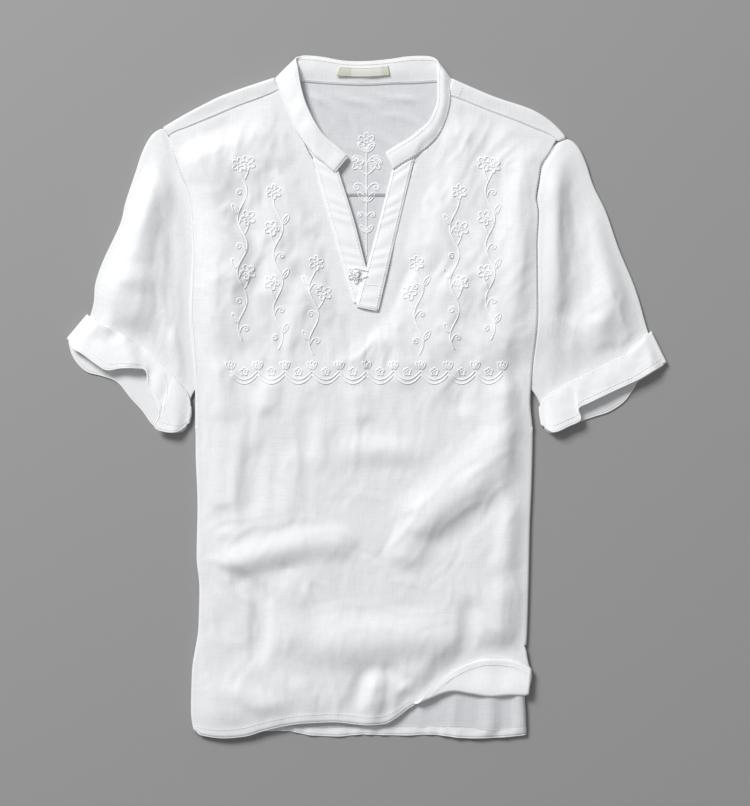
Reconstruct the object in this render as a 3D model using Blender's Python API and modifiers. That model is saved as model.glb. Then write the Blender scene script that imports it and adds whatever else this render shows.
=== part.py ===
# Collarless linen shirt with a band neck, a half placket and turned-back cuffs.
# It lies flat on its back, neck towards +Y, with its sides turned under it.
# Sizes below are millimetres; the mesh points are turned to metres as they are placed.

from collections import namedtuple
from math import cos, hypot, pi, sin

import bmesh
import bpy
import numpy as np

MM = 0.001
WALL = 1.0                 # each layer of cloth
GAP = 0.4                  # air between two layers that lie on each other
PITCH = WALL + GAP

FLAP_WIDTH = 68.0          # side cloth turned under the body
FLAP_TOP = -40.0           # the turn starts below the cuffs
FLAP_GROWTH = 50.0         # length over which it reaches its full width
RIGHT_FLAP_END = -264.0    # the right front is turned up below this, so its side is not turned under

LEAST_FLAP = 5.0           # side cloth turned under where the turn begins

SLIT_BOTTOM = 97.0         # lower end of the front opening
SLIT_HALF = 0.4
ARM_TOP_LEFT = 284.0       # upper ends of the armholes
ARM_TOP_RIGHT = 278.0
SEAM_LAP_ARM = 5.0         # front cloth under the yoke, at the arm and at the neck
SEAM_LAP_NECK = 1.5
YOKE_SEAM_Y = 219.0        # straight seam between back and yoke
YOKE_NECK_Y = 338.0        # upper edge of the yoke behind the neck
TURN_RADIUS = 2.5          # roll of the hem corner that is turned up
TURN_WIDEN = 4.0           # how far the turned corner reaches past the side
TURN_SETTLE = 28.0         # length over which it comes down on the front
SLEEVE_TUCK = 9.0          # sleeve cloth held inside the armhole
CUFF_LIFT = 1.5            # how far the cuff's front edge stands up
CUFF_REACH = 46.0          # depth of the sleeve in its cuff, and the length over which it comes out
CUFF_EASE = 40.0
BAND_BULGE = 1.2           # outward curve of the neck band
LABEL_CLEAR = 0.2

PUFF = 4.0                 # how high the front stands over the back where it is not pressed down
PRESS_REACH = 30.0         # length over which the front comes down at its sides, seams and hem
PRESS_SEAM = 12.0          # it lies flat this far below its yoke seams
PRESS_OPENING = 32.0       # reach of the flat zone beside the opening
PRESS_BELOW = 36.0         # and below its strips
STRIP_END_Y = 92.0         # lower end of the strips, and half their width there
STRIP_END_HALF = 20.0
PRESS_TURNED = 34.0        # it lies flat under the turned corner, and comes down over this length above it
TURNED_FROM = 26.0         # x at which that begins, and the width over which it does
TURNED_WIDTH = 18.0
HEM_SHARE = 0.35           # part of its height that the front keeps at the hem

BACK_INSET = 2.4           # the back lies inside the front's side folds by this
SIDE_RISE_FROM = 8.0       # the back's sides rise over their own turned cloth below this
SIDE_RISE_LENGTH = 44.0
SIDE_SLOPE = 29.0          # width over which the back comes down again beside that cloth
SIDE_STOPS = 4             # columns that this takes at each side
ROW_SPREAD = 0.96          # draws the back's rows together at the hem

LINEN = (0.86, 0.86, 0.85, 1.0)
LABEL_CLOTH = (0.80, 0.82, 0.76, 1.0)
BUTTON_WHITE = (0.88, 0.88, 0.86, 1.0)


def level(number):
    """Height of the middle of a layer in the stack of cloth."""
    return WALL / 2 + PITCH * number


# Outlines. The body's side edges, from hem to shoulder: y, x.
BODY_LEFT = [(-365, -181), (-353, -186), (-336, -188), (-295, -187), (-245, -180), (-204, -179),
             (-171, -182), (-116, -181), (-56, -183), (-6, -183), (40, -185), (95, -189), (150, -187),
             (197, -189), (224, -195), (237, -201), (257, -208), (273, -213), (289, -218)]
BODY_RIGHT = [(-365, 174), (-337, 173), (-321, 172), (-298, 177), (-284, 173), (-270, 171),
              (-253, 172), (-185, 174), (-138, 175), (-89, 177), (-42, 178), (-6, 175), (12, 176),
              (95, 183), (158, 183), (197, 185), (211, 183), (231, 186), (246, 189), (260, 198),
              (273, 206), (284, 214)]

# Hems, left to right: x, y. The front hem runs up to the fold where its corner is turned up.
FRONT_HEM = [(-188, -350), (-181, -361), (-156, -364), (-133, -362), (-114, -357), (-88, -351),
             (-64, -348), (-34, -347), (0, -350), (18, -349), (36, -340), (47, -332), (64, -324),
             (94, -314), (112, -316.5), (135, -319.5), (157, -318), (170, -318.5), (176, -317)]
TURNED_EDGE = [(47, -332), (71, -309), (90, -293), (110, -283), (129, -278), (148, -279),
               (168, -287), (176, -296)]
BACK_HEM = [(-184, -350), (-160, -356), (-114, -357), (-96, -360), (-80, -362), (-42, -363),
            (-4, -361), (58, -362), (97, -361), (135, -364.6), (157, -363.5), (175, -361)]

# Shoulder folds and the front yoke seams, left to right: x, y.
SHOULDER_LEFT = [(-217, 289), (-195, 302), (-176, 312), (-158, 321), (-134, 330), (-103, 341)]
SHOULDER_RIGHT = [(95, 340), (138, 321), (176, 308), (192, 299), (203, 290), (213, 279)]
SEAM_LEFT = [(-212, 279), (-204, 284), (-193, 288), (-171, 297), (-137, 311), (-105, 323), (-92, 330)]
SEAM_RIGHT = [(86, 323), (104, 317), (131, 306), (158, 296), (180, 287), (195, 281), (206, 273)]

# The front opening, from the slit's lower end up to the neck: x, y.
STRIP_EDGE_LEFT = [(-13, 97), (-36, 181), (-56, 252)]
STRIP_EDGE_RIGHT = [(13, 97), (32, 178), (51, 251)]
SLIT_LEFT = [(-SLIT_HALF, 97), (-1, 135), (-15, 191), (-33, 241)]
SLIT_RIGHT = [(SLIT_HALF, 97), (2, 137), (15, 190), (29, 240)]
NECK_SEAM_LEFT = [(-56, 252), (-66, 271), (-75, 285), (-87, 313), (-96, 331)]
NECK_SEAM_RIGHT = [(51, 251), (65, 267), (76, 278), (88, 306), (91, 326)]
NECK_EDGE_LEFT = [(-33, 241), (-57, 267), (-70, 287), (-82, 313), (-91, 333)]
NECK_EDGE_RIGHT = [(29, 240), (56, 267), (71, 282), (84, 306), (86, 326)]

# The placket strips, from their lower end up: outer x, outer y, inner x, inner y.
Station = namedtuple("Station", "outer_x outer_y inner_x inner_y")
PLACKET_LEFT = [Station(-13, 100, 11, 100), Station(-23, 135, 0, 135),
                Station(-37, 184, -14, 189), Station(-57, 255, -31, 243)]
PLACKET_RIGHT = [Station(12, 92, -11, 97), Station(31, 173, 9, 169), Station(51, 257, 28, 243)]

# The neck band, from its left front end round the back to the right: seam point, then rim point.
Band = namedtuple("Band", "seam_x seam_y seam_z rim_x rim_y rim_z")
FRONT_Z = level(5)
BACK_Z = level(1)
FOLD_Z = (FRONT_Z + BACK_Z) / 2
NECK_BAND = [
    Band(-34, 240, FRONT_Z, -20, 257, 9.6), Band(-45, 249, FRONT_Z, -33, 268, 10.3),
    Band(-56, 259, FRONT_Z, -46, 279, 11.5), Band(-66, 271.5, FRONT_Z, -54, 290, 12),
    Band(-75, 285, FRONT_Z, -60, 301, 12), Band(-81.5, 299, FRONT_Z, -66, 315, 12),
    Band(-87, 313, FRONT_Z, -70, 329, 11.5), Band(-92, 325, FRONT_Z, -72.5, 342, 11),
    Band(-95, 333, FRONT_Z, -74, 352, 10.5), Band(-98.5, 339.5, FOLD_Z, -75.5, 360.5, 8.8),
    Band(-94, 339, BACK_Z, -71, 363, 7), Band(-83, 338, BACK_Z, -64, 364, 6.5),
    Band(-60, 336.5, BACK_Z, -47, 362.5, 6.5), Band(-30, 334.5, BACK_Z, -24, 358.5, 6.5),
    Band(0, 333.5, BACK_Z, 0, 358, 6.5), Band(28, 335, BACK_Z, 23, 360, 6.5),
    Band(52, 335.5, BACK_Z, 44, 363, 6.5), Band(76, 337, BACK_Z, 62, 363.5, 6.5),
    Band(87, 338, BACK_Z, 71, 362, 7), Band(91.5, 338.5, FOLD_Z, 76.5, 357, 8.4),
    Band(89.5, 331, FRONT_Z, 76, 349, 9.5), Band(90, 319, FRONT_Z, 76, 334, 9.5),
    Band(88, 306, FRONT_Z, 76, 318, 9.5), Band(83, 291, FRONT_Z, 73, 306, 9.5),
    Band(76, 278, FRONT_Z, 66, 293, 9.5), Band(65, 267, FRONT_Z, 57, 285, 9.5),
    Band(52, 257, FRONT_Z, 47, 277, 9.5), Band(40, 250, FRONT_Z, 34, 269, 9.5),
    Band(29, 243, FRONT_Z, 21, 261, 9.5)]
LABEL_SPAN = (12.85, 14.95)    # stations of the band that the label lies between
LABEL_RISE = (0.34, 0.76)      # its lower and upper edge, as shares of the band's height

# Sleeves: the fold along the top of the arm, from the armhole to the cuff, and the short inner edge.
ARM_LEFT = [(-207, 279), (-216, 286), (-228, 279), (-238, 262), (-247, 237), (-257, 207), (-263, 183),
            (-281, 144), (-289, 120), (-291, 100), (-297, 79)]
ARM_RIGHT = [(204, 271), (212, 275), (223, 268), (233, 250), (242, 224), (255, 197), (269, 157),
             (286, 116), (297, 80), (303, 61)]
UNDERARM_LEFT = [(-175, 20), (-187, 3), (-193, -17)]
UNDERARM_RIGHT = [(167, 20), (182, 2), (190, -17)]
SLEEVE_END_LEFT = [(-297, 79), (-287, 71), (-257, 54), (-224, 27), (-205, 7), (-193, -17)]
SLEEVE_END_RIGHT = [(303, 61), (291, 47), (280, 33), (216, 4), (200, -6), (190, -17)]

# Cuffs, outer fold to inner fold: turned upper edge, front lower edge and back lower edge.
CUFF_UPPER_LEFT = [(-297, 87), (-285, 78), (-272, 72), (-252, 61), (-236, 50), (-218, 34), (-203, 18),
                   (-192, 4), (-188, -9)]
CUFF_FRONT_LEFT = [(-319, 61), (-313, 52), (-304, 47), (-289, 36), (-277, 29), (-262, 31), (-246, 31),
                   (-235, 28), (-232, 9), (-224, -7), (-221, -20), (-222, -30), (-216, -34.5), (-203, -35),
                   (-191, -28)]
CUFF_BACK_LEFT = [(-319, 61), (-315, 46), (-308, 35), (-298, 27), (-283, 23), (-266, 16), (-252, -1),
                  (-240, -14), (-229, -29), (-220, -34), (-206, -37), (-197, -36), (-191, -29)]
CUFF_UPPER_RIGHT = [(303, 69), (288, 55), (276, 42), (266, 39), (212, 12), (195, 2), (186, -9)]
CUFF_FRONT_RIGHT = [(319, 36), (305, 28), (290, 19), (264, 7), (239, -5), (227, -12), (226, -22), (215, -30),
                    (200, -36), (189, -31)]
CUFF_BACK_RIGHT = [(319, 35), (303, 25), (290, 17), (286, 10), (276, -4), (260, -15), (242, -21),
                   (228, -26), (207, -35), (197, -38), (189, -32)]

# Main folds of the front and sleeves: ridges have a positive height, troughs a negative one.
Fold = namedtuple("Fold", "x0 y0 x1 y1 half_width height")
FRONT_FOLDS = [
    Fold(-184, 262, -180, 130, 22, 4.5), Fold(-150, 232, -144, 96, 22, 4), Fold(-128, 160, -124, 96, 20, -3),
    Fold(-104, 210, -98, 120, 24, 3), Fold(-70, 116, -66, 60, 22, 2.5), Fold(180, 262, 174, 160, 40, 7.5),
    Fold(174, 160, 142, 48, 42, 7.5), Fold(118, 300, 150, 262, 18, -3), Fold(104, 190, 110, 120, 26, -3),
    Fold(78, 110, 84, 50, 22, 3), Fold(166, 70, 162, 8, 18, -3), Fold(150, 16, 148, -48, 36, 6),
    Fold(90, 30, 96, -10, 22, -3), Fold(34, 70, 38, 20, 24, 2.5), Fold(150, -52, 100, -86, 40, 8.5),
    Fold(100, -86, 58, -136, 40, 8.5), Fold(56, -136, 45, -182, 28, 5), Fold(128, -98, 74, -150, 20, -4),
    Fold(156, -108, 146, -180, 24, 4.5), Fold(-150, -177, -76, -165, 27, 7.5),
    Fold(-76, -165, -14, -161, 27, 5.5), Fold(-150, -181, -119, -210, 14, -5.5),
    Fold(-115, -208, -107, -268, 14, -6.5), Fold(-104, -198, -90, -262, 15, 4.5), Fold(-68, -255, 78, -253, 29, 8),
    Fold(-10, -282, 34, -284, 16, -4), Fold(0, -286, -22, -330, 15, -4.5), Fold(7, -294, 1, -346, 17, 5),
    Fold(40, -306, 32, -342, 14, 3), Fold(107, -218, 104, -270, 17, -5.5), Fold(138, -200, 134, -268, 23, 5.5),
    Fold(-122, -62, -122, -118, 19, -3.5), Fold(-79, -68, -78, -130, 19, 4.5), Fold(-64, -24, -59, -68, 15, -3.5),
    Fold(-43, -34, -45, -82, 17, 4), Fold(-104, 20, -112, -18, 20, 3.5), Fold(-20, -64, 50, -60, 22, 3.5),
    Fold(-10, 10, 0, -24, 20, 3), Fold(-160, 40, -156, -20, 22, 3.5), Fold(-154, -112, -150, -134, 20, -3),
    Fold(-150, -226, -152, -300, 26, -2.5), Fold(-140, -306, -100, -330, 22, 3), Fold(-72, -300, -62, -336, 18, 2.5)]
SLEEVE_FOLDS = [
    Fold(-238, 246, -254, 130, 46, 9), Fold(-254, 130, -262, 70, 44, 7), Fold(-206, 64, -198, 24, 14, 2),
    Fold(-262, 60, -248, 28, 16, 4), Fold(196, 232, 192, 110, 30, 4.5), Fold(224, 232, 229, 120, 18, -3.5),
    Fold(228, 120, 212, 84, 16, -3), Fold(254, 200, 258, 92, 29, 6), Fold(244, 86, 252, 56, 22, 3.5)]
SLEEVE_PUFF = 2.6

# Rows and columns of the cloth grids.
FLAP_COLUMNS = 3
BEND_COLUMNS = 4
HALF_COLUMNS = 12
STRIP_COLUMNS = 2
TURN_ROWS = 6
BODY_ROWS = 27
SLIT_ROWS = 8
NECK_ROWS = 5
BACK_COLUMNS = 14
BACK_ROWS = 18
YOKE_SIDE_COLUMNS = 9
YOKE_NECK_COLUMNS = 10
YOKE_BACK_ROWS = 5
YOKE_FRONT_ROWS = 2
BAND_ROWS = 3
LABEL_COLUMNS = 4
SLEEVE_COLUMNS = 9
SLEEVE_SHARES = [0, 0.05, 0.1, 0.18, 0.27, 0.36, 0.46, 0.56, 0.66, 0.76, 0.84, 0.92, 1.0]
CUFF_COLUMNS = 12
CUFF_SHARES = [0, 0.33, 0.67, 1.0]
EDGE_POINTS = 3

BUTTON = {"x": -10.5, "y": 131.5, "diameter": 9.5, "height": 4.4, "segments": 16, "rings": 8}
LOOP = {"radius": 0.7, "clear": 0.5, "points": 13, "opening": 0.62, "reach": 7.0, "narrow": 0.75}


def clear_scene():
    for old in list(bpy.data.objects):
        bpy.data.objects.remove(old)


def smooth(value):
    """0 to 1 with soft ends."""
    t = min(1.0, max(0.0, value))
    return t * t * (3.0 - 2.0 * t)


def mix(a, b, t):
    return a + (b - a) * t


def read(table, value):
    """Second column of a table at a value of its first one."""
    first, second = zip(*table)
    return float(np.interp(value, first, second))


def along(points, share):
    """Point at a share of a line's length, on a smooth curve through its points."""
    spots = [np.array(p, float) for p in points]
    steps = [hypot(*(b - a)[:2]) for a, b in zip(spots, spots[1:])]
    reach = min(1.0, max(0.0, share)) * sum(steps)
    index = 0
    while index < len(steps) - 1 and reach > steps[index]:
        reach -= steps[index]
        index += 1
    t = min(1.0, reach / steps[index])
    p1 = spots[index]
    p2 = spots[index + 1]
    before = spots[index - 1] if index > 0 else 2 * p1 - p2
    after = spots[index + 2] if index + 2 < len(spots) else 2 * p2 - p1
    slope_in = (p2 - before) / 2
    slope_out = (after - p1) / 2
    return ((2 * t ** 3 - 3 * t ** 2 + 1) * p1 + (t ** 3 - 2 * t ** 2 + t) * slope_in
            + (3 * t ** 2 - 2 * t ** 3) * p2 + (t ** 3 - t ** 2) * slope_out)


def fold_height(folds, x, y):
    """Sum of the ridges and troughs at a place."""
    total = 0.0
    for fold in folds:
        run = np.array([fold.x1 - fold.x0, fold.y1 - fold.y0])
        length = hypot(*run)
        ahead = ((x - fold.x0) * run[0] + (y - fold.y0) * run[1]) / length ** 2
        aside = abs((x - fold.x0) * run[1] - (y - fold.y0) * run[0]) / length
        if aside < fold.half_width and -0.25 < ahead < 1.25:
            ends = smooth((ahead + 0.25) / 0.4) * smooth((1.25 - ahead) / 0.4)
            total += fold.height * ends * (0.5 + 0.5 * cos(pi * aside / fold.half_width))
    return total


def opening_half(y):
    """Half width of the zone of placket strips and neck band, which lie flat on the front."""
    return read([(60, 0), (92, 20), (240, 62), (330, 104)], y)


def front_height(x, y):
    """Middle of the front's wall over a place."""
    left = smooth((x - read(BODY_LEFT, y)) / PRESS_REACH)
    right = smooth((read(BODY_RIGHT, y) - x) / PRESS_REACH)
    seam = read(SEAM_LEFT + SEAM_RIGHT, x)
    top = smooth((seam - PRESS_SEAM - y) / PRESS_REACH)
    if y > STRIP_END_Y:
        opening = smooth((abs(x) - opening_half(y)) / PRESS_OPENING)
    else:
        opening = smooth((STRIP_END_Y - y) / PRESS_BELOW + (abs(x) - STRIP_END_HALF) / PRESS_OPENING)
    over_corner = smooth((read(TURNED_EDGE, x) + PRESS_TURNED - y) / PRESS_REACH)
    turned = 1 - smooth((x - TURNED_FROM) / TURNED_WIDTH) * over_corner
    hem = mix(HEM_SHARE, 1.0, smooth((y - read(FRONT_HEM, x)) / PRESS_REACH))
    rise = max(0.0, PUFF + fold_height(FRONT_FOLDS, x, y))
    return level(3) + rise * left * right * top * opening * turned * hem


def flap_width(y):
    return max(LEAST_FLAP, FLAP_WIDTH * smooth((FLAP_TOP - y) / FLAP_GROWTH + 0.08))


def new_material(name, colour, roughness):
    material = bpy.data.materials.new(name)
    material.use_nodes = True
    shader = material.node_tree.nodes["Principled BSDF"]
    shader.inputs["Base Color"].default_value = colour
    shader.inputs["Roughness"].default_value = roughness
    shader.inputs["Metallic"].default_value = 0.0
    return material


def cloth_sheet(name, columns, rows, place, keep, collection, parent, colour=LINEN, roughness=0.85):
    """An open grid of cloth, placed point by point and given its wall by Solidify.

    place(column, row) gives a point in millimetres, keep(column, row) says which cells are cloth.
    A grid whose first and last columns fall together is welded there to a tube.
    """
    bm = bmesh.new()
    bmesh.ops.create_grid(bm, x_segments=columns, y_segments=rows, size=0.5)
    spots = {v: (round((v.co.x + 0.5) * columns), round((v.co.y + 0.5) * rows)) for v in bm.verts}
    cut = []
    for face in bm.faces:
        column = min(spots[v][0] for v in face.verts)
        row = min(spots[v][1] for v in face.verts)
        if not keep(column, row):
            cut.append(face)
    bmesh.ops.delete(bm, geom=cut, context="FACES")
    for vert in bm.verts:
        x, y, z = place(*spots[vert])
        vert.co = (x * MM, y * MM, z * MM)
    bmesh.ops.remove_doubles(bm, verts=bm.verts, dist=0.00002)
    bmesh.ops.recalc_face_normals(bm, faces=bm.faces)
    mesh = bpy.data.meshes.new(name)
    bm.to_mesh(mesh)
    bm.free()
    mesh.shade_smooth()
    mesh.materials.append(new_material(name + "_cloth", colour, roughness))
    piece = bpy.data.objects.new(name, mesh)
    collection.objects.link(piece)
    piece.parent = parent
    wall = piece.modifiers.new("wall", "SOLIDIFY")
    wall.thickness = WALL * MM
    wall.offset = 0.0
    wall.use_even_offset = True
    wall.use_quality_normals = True


def everywhere(column, row):
    return True


def front_row_share(row):
    """Share of the way from hem to slit for a row of the body."""
    return (row - TURN_ROWS) / BODY_ROWS


def front_main_point(column, row):
    """Point of the front between its side folds; column counts from 0 at the left side."""
    slit_column = HALF_COLUMNS
    last = 2 * HALF_COLUMNS + 1
    share = front_row_share(row)
    if share <= 1.0:
        left_top = read(BODY_LEFT, SLIT_BOTTOM)
        right_top = read(BODY_RIGHT, SLIT_BOTTOM)
        outer = HALF_COLUMNS - STRIP_COLUMNS
        if column <= outer:
            x_top = mix(left_top, STRIP_EDGE_LEFT[0][0], column / outer)
        elif column <= slit_column:
            x_top = mix(STRIP_EDGE_LEFT[0][0], -SLIT_HALF, (column - outer) / STRIP_COLUMNS)
        elif column <= slit_column + 1 + STRIP_COLUMNS:
            x_top = mix(SLIT_HALF, STRIP_EDGE_RIGHT[0][0], (column - slit_column - 1) / STRIP_COLUMNS)
        else:
            x_top = mix(STRIP_EDGE_RIGHT[0][0], right_top, (column - last + outer) / outer)
        across_top = (x_top - left_top) / (right_top - left_top)
        across = mix(column / last, across_top, share ** 2)
        low = read(FRONT_HEM, mix(BACK_HEM[0][0], BODY_RIGHT[0][1], across))
        y = mix(low, SLIT_BOTTOM, share)
        inset_left = fold_inset(y, True)
        inset_right = fold_inset(y, False)
        x = mix(read(BODY_LEFT, y) + inset_left, read(BODY_RIGHT, y) - inset_right, across)
        return x, y
    return front_half_point(column, row - TURN_ROWS - BODY_ROWS)


def front_half_point(column, row):
    """Point of the two halves beside the opening; row counts from the slit's lower end."""
    rows = SLIT_ROWS + NECK_ROWS
    outer = HALF_COLUMNS - STRIP_COLUMNS
    if column <= HALF_COLUMNS:
        side, strip, slit = BODY_LEFT, STRIP_EDGE_LEFT, SLIT_LEFT
        seam_line, neck, seam = NECK_SEAM_LEFT, NECK_EDGE_LEFT, SEAM_LEFT
        steps = column
        arm_top = ARM_TOP_LEFT
    else:
        side, strip, slit = BODY_RIGHT, STRIP_EDGE_RIGHT, SLIT_RIGHT
        seam_line, neck, seam = NECK_SEAM_RIGHT, NECK_EDGE_RIGHT, SEAM_RIGHT[::-1]
        steps = 2 * HALF_COLUMNS + 1 - column
        arm_top = ARM_TOP_RIGHT
    if row <= SLIT_ROWS:
        strip_point = along(strip, row / SLIT_ROWS)
        slit_point = along(slit, row / SLIT_ROWS)
    else:
        strip_point = along(seam_line, (row - SLIT_ROWS) / NECK_ROWS)
        slit_point = along(neck, (row - SLIT_ROWS) / NECK_ROWS)
    if steps >= outer:
        point = mix(strip_point, slit_point, (steps - outer) / STRIP_COLUMNS)
        return point[0], point[1]
    up = row / rows
    over = steps / outer
    arm_y = mix(SLIT_BOTTOM, arm_top, up)
    arm = np.array([read(side, arm_y), arm_y])
    lap = np.array([0.0, mix(SEAM_LAP_ARM, SEAM_LAP_NECK, over)])
    top = along(seam, over) + lap
    low_corner = np.array([read(side, SLIT_BOTTOM), SLIT_BOTTOM])
    strip_low = np.array(strip[0], float)
    bottom = mix(low_corner, strip_low, over)
    top_outer = np.array([read(side, arm_top), arm_top])
    top_inner = np.array(seam_line[-1], float)
    corners = mix(bottom, mix(top_outer, top_inner, over), up)
    point = mix(bottom, top, up) + mix(arm, strip_point, over) - corners
    return point[0], point[1]


def fold_inset(y, left):
    """The main cloth stops short of the side by the radius of its side fold."""
    if y > FLAP_TOP or (not left and y < RIGHT_FLAP_END):
        return 0.0
    return WALL / 2 + 1.5 * PITCH


def place_front(column, row):
    first_main = FLAP_COLUMNS + BEND_COLUMNS
    last_main = first_main + 2 * HALF_COLUMNS + 1
    if row < TURN_ROWS:
        return turned_point(column - first_main, row)
    inner = min(max(column, first_main), last_main)
    x, y = front_main_point(inner - first_main, row)
    if inner == column:
        return x, y, front_height(x, y)
    left = column < first_main
    towards = 1 if left else -1
    steps = first_main - column if left else column - last_main
    radius = 1.5 * PITCH
    if steps <= BEND_COLUMNS:
        angle = pi * steps / BEND_COLUMNS
        return x - towards * radius * sin(angle), y, level(1.5) + radius * cos(angle)
    share = (steps - BEND_COLUMNS) / FLAP_COLUMNS
    return x + towards * (flap_width(y) - radius) * share, y, level(0)


def turned_point(column, row):
    """Hem corner rolled up over the front: rows run from its edge to the fold."""
    x, fold_y = front_main_point(column, TURN_ROWS)
    depth = max(0.0, read(TURNED_EDGE, x) - fold_y)
    length = depth + (pi - 1) * TURN_RADIUS * min(1.0, depth / 12)
    step = TURN_ROWS - row
    roll_steps = TURN_ROWS - 2
    half_turn = pi * TURN_RADIUS
    rolled = min(half_turn, length * roll_steps / TURN_ROWS)
    if step <= roll_steps:
        run = rolled * step / roll_steps
    else:
        run = mix(rolled, length, (step - roll_steps) / 2)
    angle = min(run, half_turn) / TURN_RADIUS
    beyond = max(0.0, run - half_turn)
    widen = TURN_WIDEN * smooth((x - 120) / 50) * run / max(length, 1.0)
    settle = (2 * TURN_RADIUS - PITCH - GAP) * smooth(beyond / TURN_SETTLE)
    y = fold_y + TURN_RADIUS - TURN_RADIUS * sin(angle) + beyond
    z = level(3) + TURN_RADIUS * (1 - cos(angle)) - settle
    return x + widen, y, z


def keep_front(column, row):
    first_main = FLAP_COLUMNS + BEND_COLUMNS
    last_main = first_main + 2 * HALF_COLUMNS + 1
    main = first_main <= column < last_main
    if row < TURN_ROWS:
        if not main:
            return False
        x, _ = front_main_point(column - first_main, TURN_ROWS)
        return x >= 52
    if row >= TURN_ROWS + BODY_ROWS:
        return main and column != first_main + HALF_COLUMNS
    if main:
        return True
    left = column < first_main
    edge_column = 0 if left else 2 * HALF_COLUMNS + 1
    _, low = front_main_point(edge_column, row)
    _, high = front_main_point(edge_column, row + 1)
    return high <= FLAP_TOP and (left or low >= RIGHT_FLAP_END)


def back_edge(y, left):
    """Side of the back: inside the front's fold below, level with the front above."""
    inset = BACK_INSET * smooth((FLAP_TOP + 30 - y) / 20)
    return read(BODY_LEFT, y) + inset if left else read(BODY_RIGHT, y) - inset


def back_lift(y):
    """How far the back's sides have risen over the cloth turned under them."""
    return smooth((SIDE_RISE_FROM - y) / SIDE_RISE_LENGTH)


def place_back(column, row):
    first_main = FLAP_COLUMNS + BEND_COLUMNS
    last_main = first_main + BACK_COLUMNS
    inner = min(max(column, first_main), last_main)
    share = row / BACK_ROWS
    steps = inner - first_main
    across = steps / BACK_COLUMNS
    low = read(BACK_HEM, mix(BACK_HEM[0][0], BACK_HEM[-1][0], across))
    y = mix(low, YOKE_SEAM_Y - GAP / 2, share ** ROW_SPREAD)
    bent = y <= FLAP_TOP
    left_edge = back_edge(y, True) + (WALL / 2 + PITCH / 2 if bent else 0)
    right_edge = back_edge(y, False) - (WALL / 2 + PITCH / 2 if bent else 0)
    turned = flap_width(y) if bent else LEAST_FLAP
    flat = turned + LEAST_FLAP
    stops = [0, flat / 2, flat, flat + SIDE_SLOPE]
    raised = level(2 * back_lift(y))
    last = SIDE_STOPS - 1
    if steps < SIDE_STOPS:
        x = left_edge + stops[steps]
        z = raised if steps < last else level(0)
    elif BACK_COLUMNS - steps < SIDE_STOPS:
        x = right_edge - stops[BACK_COLUMNS - steps]
        z = raised if BACK_COLUMNS - steps < last else level(0)
    else:
        x = mix(left_edge + stops[last], right_edge - stops[last], (steps - last) / (BACK_COLUMNS - 2 * last))
        z = level(0)
    if inner == column:
        return x, y, z
    left = column < first_main
    towards = 1 if left else -1
    count = first_main - column if left else column - last_main
    radius = PITCH / 2
    if count <= BEND_COLUMNS:
        angle = pi * count / BEND_COLUMNS
        return x - towards * radius * sin(angle), y, level(1.5) + radius * cos(angle)
    return x + towards * (turned - radius) * (count - BEND_COLUMNS) / FLAP_COLUMNS, y, level(1)


def keep_back(column, row):
    first_main = FLAP_COLUMNS + BEND_COLUMNS
    if first_main <= column < first_main + BACK_COLUMNS:
        return True
    edge = first_main if column < first_main else first_main + BACK_COLUMNS
    return place_back(edge, row + 1)[1] <= FLAP_TOP


def place_yoke(column, row):
    """Back yoke on the floor, rolled over the shoulders to the front seams."""
    right_start = YOKE_SIDE_COLUMNS + YOKE_NECK_COLUMNS
    radius = 2 * PITCH
    seam_point = None
    if column <= YOKE_SIDE_COLUMNS:
        share = column / YOKE_SIDE_COLUMNS
        x_top = mix(SHOULDER_LEFT[0][0], SHOULDER_LEFT[-1][0], share)
        y_top = read(SHOULDER_LEFT, x_top) - WALL / 2 - radius
        seam_point = along(SEAM_LEFT, share)
    elif column < right_start:
        share = (column - YOKE_SIDE_COLUMNS) / YOKE_NECK_COLUMNS
        x_top = mix(SHOULDER_LEFT[-1][0], SHOULDER_RIGHT[0][0], share)
        y_top = YOKE_NECK_Y
    else:
        share = (column - right_start) / YOKE_SIDE_COLUMNS
        x_top = mix(SHOULDER_RIGHT[0][0], SHOULDER_RIGHT[-1][0], share)
        y_top = read(SHOULDER_RIGHT, x_top) - WALL / 2 - radius
        seam_point = along(SEAM_RIGHT, share)
    span = SHOULDER_RIGHT[-1][0] - SHOULDER_LEFT[0][0]
    across = (x_top - SHOULDER_LEFT[0][0]) / span
    y_low = YOKE_SEAM_Y + GAP / 2
    left_low = read(BODY_LEFT, y_low)
    right_low = read(BODY_RIGHT, y_low)
    if row <= YOKE_BACK_ROWS:
        t = row / YOKE_BACK_ROWS
        y = mix(y_low, y_top, t)
        hollow_left = read(BODY_LEFT, y) - mix(left_low, SHOULDER_LEFT[0][0], t)
        hollow_right = read(BODY_RIGHT, y) - mix(right_low, SHOULDER_RIGHT[-1][0], t)
        hollow = mix(hollow_left, hollow_right, across) * smooth((1 - t) * 4)
        return mix(mix(left_low, right_low, across), x_top, t) + hollow, y, level(0)
    if seam_point is None:
        return x_top, y_top, level(0)
    if row <= YOKE_BACK_ROWS + BEND_COLUMNS:
        angle = pi * (row - YOKE_BACK_ROWS) / BEND_COLUMNS
        return x_top, y_top + radius * sin(angle), level(0) + radius * (1 - cos(angle))
    t = (row - YOKE_BACK_ROWS - BEND_COLUMNS) / YOKE_FRONT_ROWS
    return mix(x_top, seam_point[0], t), mix(y_top, seam_point[1], t), level(4)


def keep_yoke(column, row):
    neck = YOKE_SIDE_COLUMNS <= column < YOKE_SIDE_COLUMNS + YOKE_NECK_COLUMNS
    return row < YOKE_BACK_ROWS or not neck


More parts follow.
